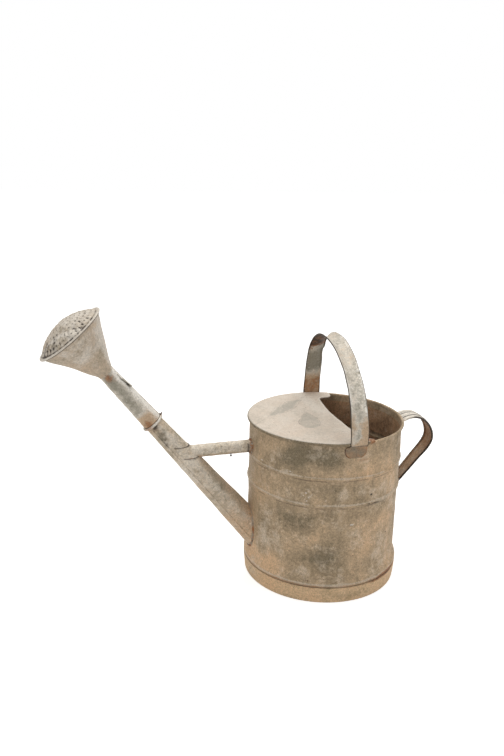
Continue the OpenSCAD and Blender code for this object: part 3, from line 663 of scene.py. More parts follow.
def brace():
    origin = np.array([-BODY_R, 0.0, BRACE_Z])
    along = np.array([-math.cos(BRACE_SLOPE), 0.0, -math.sin(BRACE_SLOPE)])
    one, two = np.array([-math.sin(BRACE_SLOPE), 0.0, math.cos(BRACE_SLOPE)]), SIDEWARD
    turns = full_turn(72)
    a = np.radians(turns)
    radius = lambda s: BRACE_R + 0 * s
    start = wall_cut(radius, a, along, origin, one, two)
    end = np.zeros_like(a) + 100
    for _ in range(40):
        p = tube_points(origin, along, one, two, BRACE_R, a, end)
        rel = p - SPOUT_O
        s = rel @ ALONG
        away = np.hypot(rel @ TOPWARD, rel @ SIDEWARD) - spout_r(s) - 0.1
        end = end + 0.6 * away / abs(along @ TOPWARD)
    rows = np.concatenate([[0, 0.01, 0.02, 0.04], np.linspace(0.07, 1, 44)])
    s = start[None, :] + (end - start)[None, :] * rows[:, None]
    aa = tiled(a, s)
    place = lambda r, a, s: tube_points(origin, along, one, two, r, a, s)
    flat = place(radius(s), aa, s).reshape(-1, 3)
    d = (0.3 * fbm(flat, 26, 31).reshape(s.shape) * smooth(rows[:, None] * 10)
        * smooth((1 - rows[:, None]) * 10))
    seam = hill(np.degrees(aa) + 175, 5) + hill(np.degrees(aa) - 180, 5)
    points = np.vstack([place(BRACE_R + d + 0.4 * np.minimum(seam, 1), aa, s).reshape(-1, 3),
        place(BRACE_R - SHEET + d[::-1], aa, s[::-1]).reshape(-1, 3)])
    faces = grid_faces(2 * len(rows), len(turns), True, True)
    under = np.clip(-(points[:, 2] - (BRACE_Z - 4)) / 8, 0, 1)
    x = points[:, 0]
    marks = {
        "tone": 0.6 * fbm(points, 22, 32) + 0.4 * under,
        "pale": 0.45 - 0.6 * under + 0.2 * fbm(points, 18, 33),
        "rust": 0.35 * under + 0.15 * fbm(points, 9, 34) + 0.5 * hill(x + 122, 4),
        "soot": 0.8 * hill(x + 126, 3.2) * (points[:, 2] < BRACE_Z + 6) + 1.4 * spot(points, (-154, -7, 208),
            2.2) + 0.35 * smooth(fbm(points, 4, 41) * 3) * (1 - under) * hill(points[:, 2] - BRACE_Z - 7, 3)
            + 0.3 * hill(x + 238, 3),
    }
    piece("brace_shell", points, faces, "can", TUBE, ["brace_tube"], marks)
    # collar on the wall, with solder round it
    n = 96
    a = np.radians(np.linspace(0, 360, n + 1)[:-1])
    lump = 1 + 0.2 * fbm(upright(20, a, 0 * a), 8, 35)
    rings = []
    for r, lift in [(9.6, 0.1), (13.4, 0.1), (13.5, 0.55), (12.9, 0.95), (11.4, 1.05), (10.7, 1.8),
            (10.2, 3.2), (9.6, 3.2)]:
        y, z = r * lump * np.sin(a), BRACE_Z + r * lump * np.cos(a)
        rr = BODY_R + lift
        rings.append(np.stack([-np.sqrt(rr**2 - y**2), y, z], axis=1))
    points = np.vstack(rings)
    piece("brace_collar", points, grid_faces(8, n, True, True), "can", SOLDER, (),
        {"rust": 0.3 + 0.5 * fbm(points, 6, 36)})
    # a blackened drip of solder hangs under the tube
    up, round_it = np.radians(np.linspace(-80, 80, 9)), np.radians(np.linspace(0, 360, 17)[:-1])
    drip = np.array([(-153 + 1.6 * math.cos(u) * math.cos(t), -5 + 1.6 * math.cos(u) * math.sin(t),
        204.9 + 2.0 * math.sin(u)) for u in up for t in round_it])
    caps = [tuple(range(16)), tuple(128 + j for j in reversed(range(16)))]
    black = {"soot": np.full(len(drip), 1.2), "rust": np.zeros(len(drip)), "tone": np.zeros(len(drip)),
        "pale": np.zeros(len(drip))}
    piece("brace_drip", drip, grid_faces(9, 16, False, True) + caps, "can", TUBE, (), black)
    # the band, wrapped over the spout
    (low_z, high_z), end_x, round_r = BRACE_BAND, -249.7, 6.0
    cols, rows_n = 81, 13
    limit = np.radians(np.linspace(-97, 97, cols))

    def s_at(z, r_extra, a):
        s = np.full_like(a, 160.0)
        for _ in range(30):
            s = (z - SPOUT_Z - (spout_r(s) + r_extra) * np.cos(a) * TOPWARD[2]) / ALONG[2]
        return s

    # the far ends of the band stop where the sheet reaches end_x, with round corners
    skins = []
    for extra in (0.07, 0.95):
        skin = []
        for k in np.linspace(0, 1, rows_n):
            z = low_z + (high_z - low_z) * k
            edge = max(round_r - min(z - low_z, high_z - z), 0)
            reach = end_x + round_r - math.sqrt(max(round_r**2 - edge**2, 0))
            a = limit.copy()
            for _ in range(40):
                s = s_at(z, extra, a)
                x = (SPOUT_O[0] + s * ALONG[0] + (spout_r(s) + extra) * np.cos(a) * TOPWARD[0])
                a = np.where(x < reach, a * 0.985, a)
            s = s_at(z, extra, a)
            lift = extra + 0.25 * fbm(on_spout(spout_r(s), a, s), 9, 37) * (extra > 0.5)
            skin.append(on_spout(spout_r(s) + lift, a, s))
        skins.append(np.array(skin))
    inner, outer = skins
    points = np.vstack([outer.reshape(-1, 3), inner.reshape(-1, 3)])
    z = points[:, 2]
    marks = {
        "tone": 0.4 * fbm(points, 14, 38),
        "pale": 0.45 + 0.2 * fbm(points, 10, 39),
        "rust": 0.2 * fbm(points, 8, 40) + 0.35 * hill(z - low_z, 2.5) + 0.2 * hill(z - high_z, 2.5),
        # dark lines at the band's edges: painted shadow under its lower edge, a dark outline at its upper
        # edge; the spot is the dark end of the lap
        "soot": 1.2 * hill(z - low_z, 1.0) + 1.0 * hill(z - high_z, 0.8)
            + 1.2 * spot(points, (-219.4, -9, 229), 3.2),
    }
    piece("brace_band", points, two_sided(rows_n, cols), "can", TUBE, (), marks)


brace()

# ------------------------------------------------------------------ the rose

LIP_R, NECK_R, SOCKET_LEN = 15.4, 11.7, 109.4
NECK_S = SPOUT_LEN + SOCKET_LEN


def socket_r(s):
    return LIP_R + (NECK_R - LIP_R) * (s - SPOUT_LEN) / SOCKET_LEN


def socket():
    lip = 1.85  # radius of the rolled lip
    roll_s, roll_r = SPOUT_LEN + lip, LIP_R - SHEET + lip
    s_rows = np.linspace(roll_s, NECK_S + 3, 60)
    outer = np.stack([socket_r(s_rows), s_rows], axis=1)
    inner = np.stack([socket_r(s_rows) - SHEET, s_rows], axis=1)
    profile = np.vstack([outer, inner[::-1]])
    turns = full_turn(96, [0, 0.6, 34, 34.6])
    count = len(outer)

    def offset(r, a, s):
        flat = on_spout(r, a, s).reshape(-1, 3)
        d = (0.42 * fbm(flat, 17, 51).reshape(r.shape) * smooth((s - roll_s) / 10)
            * smooth((NECK_S - 4 - s) / 8))
        d = (d - 0.45 * spot(flat, at_spout(-80, 300, 13), 11).reshape(r.shape)
            - 0.35 * spot(flat, at_spout(-50, 268, 14), 9).reshape(r.shape))
        t = np.degrees(a)
        lap = (t > 0.3) * (t < 34.3) * (s > SPOUT_LEN + 5) * (s < NECK_S - 4)
        lap[count:] = 0
        return d + 0.7 * lap

    points, faces, s = turned_shell(profile, turns, on_spout, offset)
    s, t = s.reshape(-1), np.degrees(np.tile(np.radians(turns), len(profile)))
    marks = {
        # by turn: painted shade on the lower front side (turn near -105) in tone and pale, painted highlight
        # on the upper side (turn near -22) in pale
        "tone": 0.6 * fbm(points, 24, 52) - 0.9 * hill(t + 105, 34)
            + 3.4 * spot(points, at_spout(-112, SPOUT_LEN + 10, 15), (14, 12, 14)),
        "pale": 0.15 * fbm(points, 14, 53) + 0.7 * hill(t + 22, 30) - 0.4 * hill(t + 110, 30),
        "rust": 0.10 * fbm(points, 10, 54) + 0.58 * spot(points, at_spout(-98, NECK_S - 9, 12), 10.5)
            + 0.42 * spot(points, at_spout(-112, SPOUT_LEN + 9, 15), (13, 11, 12))
            + 0.12 * hill(s - SPOUT_LEN - 5, 8),
        # the spot at turn -17 is painted shadow under the flap's lifted end; the rest are dark marks in the
        # dent and a line at the lip
        "soot": 0.9 * spot(points, at_spout(-17, 311, 13), (4, 4, 7))
            + 0.5 * spot(points, at_spout(-80, 300, 12), (6, 6, 16)) * smooth(fbm(points, 4, 55) * 4)
            + 0.9 * hill(s - SPOUT_LEN - 3.6, 0.8),
    }
    piece("rose_socket_shell", points, faces, "rose", STRAP, ["rose_socket"], marks)
    # the rolled lip, open where the wire's end shows
    cols = 90
    a = np.radians(np.linspace(13, 347, cols))
    prof = arc((roll_r, roll_s), lip, -180, 170, 21)
    pts = on_spout(prof[:, 0][:, None] + 0.12 * np.sin(a * 5)[None, :], a[None, :] * np.ones((len(prof), 1)),
        prof[:, 1][:, None] + 0.1 * np.cos(a * 3)[None, :]).reshape(-1, 3)
    faces = grid_faces(len(prof), cols, True, False) + end_caps(len(prof), cols)
    marks = {"tone": 0.6 * fbm(pts, 12, 56), "pale": 0.35 + 0.3 * fbm(pts, 9, 57), "rust": 0.12
        + 0.35 * spot(pts, at_spout(-120, 238, 17), 12), "soot": 0.9 * spot(pts, at_spout(12, 240, 17), 4)}
    piece("rose_lip", pts, faces, "rose", STRAP, (), marks)
    # the sprung edge of the lap seam
    n_s, n_a = 22, 11
    start, stop = NECK_S - 42, NECK_S - 13
    skins = []
    for thick in (SHEET, 0.05):
        skin = []
        for k in np.linspace(0, 1, n_s):
            s0 = start + (stop - start) * k
            lift = 2.6 * (1 - smooth(k * 1.1)) + 0.1
            a0, a1 = math.radians(-27 + 2.5 * math.sin(7 * k)), math.radians(6)
            aa = np.linspace(a0, a1, n_a)
            fall = lift * smooth((a1 - aa) / math.radians(28)) + 0.1
            rr = socket_r(s0) + fall + thick
            skin.append(on_spout(rr, aa, np.full(n_a, s0 + 0.8 * math.sin(3 + 9 * k) * (k < 0.2))))
        skins.append(np.array(skin).reshape(-1, 3))
    points = np.vstack(skins)
    # low is the flap's underside: less pale and more soot there is painted shade under the lifted flap
    low = np.arange(len(points)) >= n_s * n_a
    marks = {"tone": -0.5 + 0 * points[:, 0], "pale": 0.4 + 0.3 * fbm(points, 6, 58) - 0.9 * low,
        "rust": 0 * points[:, 0], "soot": 0.05 + 0.3 * low}
    piece("socket_flap", points, two_sided(n_s, n_a), "rose", STRAP, (), marks)


socket()

FLANGE_R, CONE_TOP_S, CONE_TOP_R, CONE_NECK_R = 54.95, 421.35, 53.55, 12.65


def cone():
    k = np.linspace(0, 1, 46)
    # the sheet was spun: a little hollow just above the neck
    side = CONE_NECK_R + (CONE_TOP_R - CONE_NECK_R) * k - 1.1 * np.sin(np.pi * k) ** 1.5
    s = NECK_S + (CONE_TOP_S - NECK_S) * k
    outer = np.vstack([[[CONE_NECK_R, NECK_S - 3]], np.stack([side, s], axis=1),
        [[FLANGE_R, CONE_TOP_S], [FLANGE_R, CONE_TOP_S + SHEET]]])
    inner = np.vstack([np.stack([side - 0.95, s + 0.05], axis=1)[::-1], [[CONE_NECK_R - SHEET, NECK_S - 3]]])
    inner[0] = [CONE_TOP_R - 0.6, CONE_TOP_S + SHEET]
    profile = np.vstack([outer, inner])
    fade = lambda s: smooth((s - NECK_S) / 14) * smooth((CONE_TOP_S - 3 - s) / 10)

    def offset(r, a, s):
        flat = on_spout(r, a, s).reshape(-1, 3)
        d = 0.8 * fbm(flat, 34, 61).reshape(r.shape) + 0.25 * fbm(flat, 12, 62).reshape(r.shape)
        d = (d - 0.9 * spot(flat, at_spout(-60, 392, 38), 16).reshape(r.shape)
            - 0.7 * spot(flat, at_spout(-120, 378, 30), 14).reshape(r.shape))
        t = np.degrees(a)
        ridge = hill(t + 12, 70 / np.maximum(r, 1)) * 0.5
        return (d + ridge) * fade(s)

    points, faces, s = turned_shell(profile, full_turn(180), on_spout, offset)
    s, t = s.reshape(-1), np.degrees(np.arctan2(*[(points - SPOUT_O) @ v for v in (SIDEWARD, TOPWARD)]))
    marks = {
        # painted shade on the lower front side (tone, turn near -95) and a painted highlight along the upper
        # side (pale, turn near -22)
        "tone": 0.25 + 0.5 * fbm(points, 36, 63) - 0.35 * hill(t + 95, 45)
            - 0.6 * spot(points, at_spout(-38, 380, 28), (7, 7, 18)),
        "pale": 0.25 * fbm(points, 22, 64) + 0.65 * hill(t + 22, 20)
            + 0.3 * spot(points, at_spout(-90, 400, 40), 30),
        "rust": 0.05 * fbm(points, 14, 65) + 0.25 * spot(points, at_spout(-170, 410, 50), 14)
            + 0.3 * spot(points, at_spout(-115, NECK_S + 2, 13), 7),
        # painted shade: a dark line just under the rim's fold
        "soot": 0.9 * hill(s - CONE_TOP_S + 0.8, 1.2),
    }
    piece("rose_cone_shell", points, faces, "rose", ROSE, ["rose_cone"], marks)


cone()

DOME_R, FACE_S, FACE_R = 78.53, 422.2, 52.35
DOME_S = FACE_S + SHEET + 20 - DOME_R
PITCH, HOLE_R = 6.6, 0.85


def face():
    holes = []
    for ring in range(1, 8):
        for k in range(6 * ring):
            a = math.radians(60 * k / ring + 17 * ring)
            holes.append((ring * PITCH * math.cos(a), ring * PITCH * math.sin(a), HOLE_R))
    n = 150
    rim_r = FACE_R + 0.9
    outline = [(rim_r * math.cos(2 * math.pi * i / n), rim_r * math.sin(2 * math.pi * i / n))
        for i in range(n)]
    centres = np.array(holes)[:, :2]
    inner = []
    for x, y, r in holes:
        for k in range(12):
            a = 2 * math.pi * (k + 0.5) / 12
            inner.append((x + 1.6 * math.cos(a), y + 1.6 * math.sin(a)))
    step = 1.4
    for i in range(-39, 40):
        for j in range(-45, 46):
            p = np.array([(i + 0.5 * (j % 2)) * step, j * step * 0.866])
            if np.hypot(*p) < rim_r - 1.2 and np.hypot(*(centres - p).T).min() > 2.1:
                inner.append(tuple(p))
    plan, tris = plate(outline, holes, inner)
    radius = np.hypot(plan[:, 0], plan[:, 1])
    near = np.hypot(plan[:, None, 0] - centres[None, :, 0], plan[:, None, 1]
        - centres[None, :, 1]).min(axis=1)
    height = DOME_S + np.sqrt(np.maximum(DOME_R**2 - radius**2, 1))
    burr = 0.45 * hill(near - HOLE_R, 0.7)
    flat = np.column_stack([plan, 0 * radius])
    dent = 0.7 * fbm(flat, 19, 71) + 0.25 * fbm(flat, 7, 72)
    # an old knock left a crease across the near half
    across = (plan @ np.array([0.42, 0.907])) + 27.5
    crease = (-1.9 * hill(across, 3.2) * smooth((46 - np.abs(plan @ np.array([0.907, -0.42]) + 4)) / 16)
        + 1.1 * smooth((-across) / 12) * smooth((across + 26) / 12))
    # crinkles that run in from the edge, deepest on the near and lower sides
    turn = np.arctan2(plan[:, 1], plan[:, 0])
    swirl = upright(44, turn + 0.006 * radius, 0.16 * radius)
    crinkle = (smooth((fbm(swirl, 3.6, 73, 2) - 0.02) * 4) * np.exp(-(((radius - 43) / 12) ** 4))
        * smooth((14 - plan[:, 1]) / 30))
    height = (height + (dent + crease) * smooth((rim_r - radius) / 8)
        - 0.9 * crinkle * smooth((rim_r - radius) / 3))
    place = lambda s: SPOUT_O + s[:, None] * ALONG + plan[:, :1] * TOPWARD + plan[:, 1:] * SIDEWARD
    points, faces = two_skins(place(height + burr), place(height - SHEET + 0.6 * burr), tris)
    twice = lambda v: np.concatenate([v, v])
    marks = {
        "tone": twice(0.1 + 0.7 * fbm(flat, 22, 74)),
        "pale": twice(0.30 + 0.25 * fbm(flat, 13, 75) + 0.4 * hill(across + 7, 5)
            + 0.25 * spot(plan, (20, -10), 26)),
        "rust": twice(0.12 * fbm(flat, 9, 76) + 0.22 * spot(plan, (-38, -26), 17)),
        # 0.50 * crinkle is painted shade in the crinkles' hollows
        "soot": np.concatenate([0.58 * hill(near - HOLE_R, 0.7) * smooth(0.9 + fbm(flat, 9, 80))
            + 0.28 * hill(across, 2.0) + 0.50 * crinkle + 0.35 * spot(plan, (-40, -26), 12)
            + 0.75 * hill(radius - 51.2, 0.8), np.full(len(plan), 0.45)]),
    }
    piece("rose_face_plate", points, faces, "rose", ROSE, ["rose_face"], marks, crease=50)
    # its edge, folded over the cone's flange
    fold = (FLANGE_R, CONE_TOP_S + SHEET / 2)
    profile = np.vstack([
        [[FACE_R - 0.4, FACE_S + SHEET], [FACE_R - 0.4, FACE_S]], arc(fold, 0.45, 90, -90, 8),
        [[FLANGE_R - 1.0, fold[1] - 0.45], [FLANGE_R - 1.0, fold[1] - 1.25]], arc(fold, 1.25, -90, 90, 12)])
    wobble = lambda r, a, s: 0.18 * np.sin(7 * a + 1) * (r > 54) * 0.5 + 0.12 * np.sin(19 * a) * (r > 54)
    points, faces, s = turned_shell(profile, full_turn(200), on_spout, wobble)
    s = s.reshape(-1)
    # painted highlight: pale over the whole rim bead; painted shade: soot on its underside below the flange
    marks = {"tone": 0.3 * fbm(points, 20, 77), "pale": 0.7 + 0.2 * fbm(points, 12, 78), "rust": 0.05
        + 0.15 * fbm(points, 9, 79), "soot": 1.1 * smooth((CONE_TOP_S + 0.25 - s) / 0.5)}
    piece("rose_rim", points, faces, "rose", ROSE, (), marks)


face()

# ------------------------------------------------------------------ the cover


def teardrop(x, y):
    """How far a point lies inside the cover's tear-shaped stain: its tip is towards the far side."""
    t = np.clip((y + 51) / 75, 0, 1)
    half = np.where(t < 0.34, np.sqrt(np.clip(1 - ((0.34 - t) / 0.34) ** 2, 0, 1)),
        1 - (np.clip(t - 0.34, 0, 1) / 0.66) ** 1.4)
    ends = np.where((y < -51) | (y > 24), -np.minimum(np.abs(y + 51), np.abs(y - 24)), 0)
    return 17 * half - np.abs(x - (-38 + 12 * t)) + ends


def lens(x, y):
    """The same for the long stain that runs from the spout's side towards the far ear."""
    start, stop = np.array([-88.0, 10.0]), np.array([-20.0, 84.0])
    long = np.hypot(*(stop - start))
    d = (stop - start) / long
    u = (x - start[0]) * d[0] + (y - start[1]) * d[1]
    off = np.abs((x - start[0]) * d[1] - (y - start[1]) * d[0])
    return 12.5 * np.sin(np.pi * np.clip(u / long, 0, 1)) ** 0.6 - off


def cover():
    reach, tip_r, corner_r = 40.0, 12.0, 9.0
    rim_out = RIM_R + FOLD_OUT

    def edge_x(y):
        return min(12.3 + 8 * ((y - 25) / 88) ** 2, 20.5)

    rim_y = math.sqrt(RIM_R**2 - reach**2)

    def ear(sign, depth):
        """The outline of one ear, from the free edge to the rim."""
        y0 = rim_out - depth
        x0 = edge_x(sign * (y0 - corner_r))
        end_r = min(tip_r, depth - 9)
        pts = [*arc((x0 + corner_r, y0 - corner_r), corner_r, 180, 90, 7),
            *arc((reach - end_r, y0 + end_r), end_r, -90, 0, 9)]
        pts.append((reach, y0 + end_r + 1.5))
        return [(x, sign * y) for x, y in pts]

    near_ear, far_ear = ear(-1, 16.0), ear(1, 34.0)
    free = [(edge_x(y), y) for y in np.linspace(near_ear[0][1], far_ear[0][1], 60)[1:-1]]
    a0 = math.atan2(rim_y, reach)
    circle = [(RIM_R * math.cos(a), RIM_R * math.sin(a)) for a in np.linspace(a0, 2 * math.pi - a0, 190)]
    outline = near_ear[::-1] + free + far_ear + circle
    poly = np.array(outline)

    step = 1.7
    i, j = np.meshgrid(np.arange(-76, 28), np.arange(-86, 87), indexing="ij")
    grid = np.stack([(i + 0.5 * (j % 2)) * step, j * step * 0.866], axis=-1).reshape(-1, 2)
    grid = grid[np.hypot(grid[:, 0], grid[:, 1]) < RIM_R]
    x, y = grid[:, :1], grid[:, 1:]
    (xa, ya), (xb, yb) = poly.T, np.roll(poly, -1, axis=0).T
    crossed = ((ya > y) != (yb > y)) & (x < (xb - xa) * (y - ya) / np.where(yb == ya, 1, yb - ya) + xa)
    away = np.hypot(x - xa, y - ya).min(axis=1)
    inner = [tuple(p) for p in grid[(crossed.sum(axis=1) % 2 == 1) & (away > 1.1)]]
    plan, tris = plate(outline, [], inner)
    radius = np.hypot(plan[:, 0], plan[:, 1])
    flat = np.column_stack([plan, 0 * radius])
    fade = smooth((RIM_R - 1 - radius) / 14)
    edge_d = np.array([np.hypot(*(np.array(free + far_ear + near_ear) - p).T).min() for p in plan])
    drop = 0.9 * fbm(flat, 75, 81) + 0.35 * fbm(flat, 24, 82) - 0.5
    # the tear-shaped dent, the long shallow one before it, and the press line of the strap's width
    drop = (drop - 1.1 * smooth(teardrop(plan[:, 0], plan[:, 1]) / 7)
        - 0.8 * smooth(lens(plan[:, 0], plan[:, 1]) / 12))
    drop = drop + 0.8 * hill(plan[:, 0] + 12, 10) * smooth((plan[:, 1] - 10) / 30)
    top_z = RIM_Z + FOLD_OUT
    z = top_z + np.minimum(drop, 0.9) * fade
    hem = smooth((6 - edge_d) / 0.8)
    top = np.column_stack([plan, z + 0.28 * hem * (radius < RIM_R - 2)])
    bottom = np.column_stack([plan, z - SHEET - 0.75 * hem * (radius < RIM_R - 6)])
    points, faces = two_skins(top, bottom, tris)
    # the fold over the rim's roll, as a strip along the rim
    cols = 200
    a = np.linspace(a0 + 0.01, 2 * math.pi - a0 - 0.01, cols)
    ends = smooth(np.minimum(a - a[0], a[-1] - a) / 0.05)
    prof = arc((0, 0), 1, 97, -32, 12)
    strip = []
    for which, rad in ((0, FOLD_OUT), (1, FOLD_IN)):
        order = prof if which == 0 else prof[::-1]
        for cx, cz in order:
            wob = 0.16 * fbm(upright(RIM_R, a, 0 * a + cz * 9), 8, 83) * (which == 0)
            rr = RIM_R + (rad + wob) * cx * (0.6 + 0.4 * ends if cz < 0 else 1)
            strip.append(upright(rr, a, RIM_Z + (rad + 0.35 * wob) * cz + 0 * a))
    base = len(points)
    sp = np.vstack(strip)
    nrow = len(strip)
    sf = grid_faces(nrow, cols, True, False) + end_caps(nrow, cols)
    points = np.vstack([points, sp])
    faces = faces + [tuple(base + i for i in f) for f in sf]
    x, y = points[:, 0], points[:, 1]
    xy = points[:, :2]
    rad = np.hypot(x, y)
    wander = 1.6 * fbm(points, 9, 88)
    tear_in, lens_in = teardrop(x, y) + wander, lens(x, y) + 2 * wander
    band = np.exp(-(((x + 10 + 0.1 * (y - 100)) / 10) ** 4)) * smooth((y - 5) / 20)
    # outer_edge darkens the fold's lower outer edge: partly the fold's own darker colour, partly painted
    # shade under the fold
    outer_edge = hill(rad - (RIM_R + 2.2), 1.2)
    n_top = len(plan)
    under = np.zeros(len(points))
    under[n_top : 2 * n_top] = 1
    edge_all = np.concatenate([edge_d, edge_d, np.full(len(sp), 9.0)])
    marks = {
        "tone": -0.85 * smooth(tear_in / 3) - 1.1 * smooth(lens_in / 5) + 0.35 * fbm(points, 42, 84)
            + 0.45 * spot(xy, (-70, -60), (34, 26)) + 0.5 * spot(xy, (5, -92), (30, 16)) - 1.6 * outer_edge,
        # the line along the free edge's hem (edge_all near 2) is a painted highlight
        "pale": 0.2 + 0.2 * fbm(points, 26, 85) - 0.35 * smooth(tear_in / 3) - 0.3 * smooth(lens_in / 5)
            + 0.5 * band + 0.8 * hill(edge_all - 2, 1.5) - 0.5 * outer_edge,
        "rust": 0.05 * fbm(points, 30, 86) + 0.70 * spot(xy, (36, -115), (12, 9))
            + 0.18 * spot(xy, (-118, 0), (8, 30)) + 0.45 * under + 0.25 * spot(xy, (34, 112), (8, 8)),
        "soot": 0.60 * hill(tear_in, 1.3) + 0.52 * hill(lens_in, 1.5) + 0.30 * hill(edge_all - 4.6, 0.8)
            + 0.50 * hill(edge_all, 0.5) * (1 - under) + 0.45 * under
            + 0.35 * outer_edge * (fbm(points, 10, 87) > -0.1),
    }
    obj = piece("half_cover", points, faces, "can", COVER, ["cover"], marks, crease=45)
    obj.data.materials.append(WALL)
    centre = points[np.array([f[:3] for f in faces])].mean(axis=1)
    outside = np.hypot(centre[:, 0], centre[:, 1]) > RIM_R + 1.9
    outside[: len(faces) - len(sf)] = False
    obj.data.polygons.foreach_set("material_index", outside.astype(np.int32))


cover()

# ------------------------------------------------------------------ the two strap handles


def unit(v):
    return v / np.linalg.norm(v, axis=-1, keepdims=True)


def path_normals(path):
    d = np.empty_like(path)
    d[1:-1] = path[2:] - path[:-2]
    d[0], d[-1] = path[1] - path[0], path[-1] - path[-2]
    d = unit(d)
    return np.stack([-d[:, 1], d[:, 0]], axis=1)


def strap_section(half_w, edge_r, face):
    """Closed outline [across, out] of a strap with edges rolled under: outer face, edge, inner face, edge."""
    half = [(x * half_w, h) for x, h in face]
    stop = -180 - math.degrees(math.asin((edge_r - SHEET) / edge_r))
    half += [(half_w - edge_r + edge_r * math.cos(math.radians(t)),
        -edge_r + edge_r * math.sin(math.radians(t))) for t in np.linspace(90, stop, 15)]
    half += [(t * half_w, -SHEET) for t in (0.72, 0.55, 0.36, 0.18, 0.0)]
    other = [(-x, h) for x, h in half if x > 1e-9][::-1]
    return np.array(half + other)


def strap(name, rings, material, node, marks):
    """A strap from its sections, closed at both ends. marks(points, m) gives what its material reads."""
    m = len(rings[0])
    points = np.vstack(rings)
    faces = grid_faces(len(rings), m, False, True)
    faces.append(tuple(range(m)))
    faces.append(tuple((len(rings) - 1) * m + j for j in reversed(range(m))))
    return piece(name, points, faces, "can", material, [node], marks(points, m), crease=48)


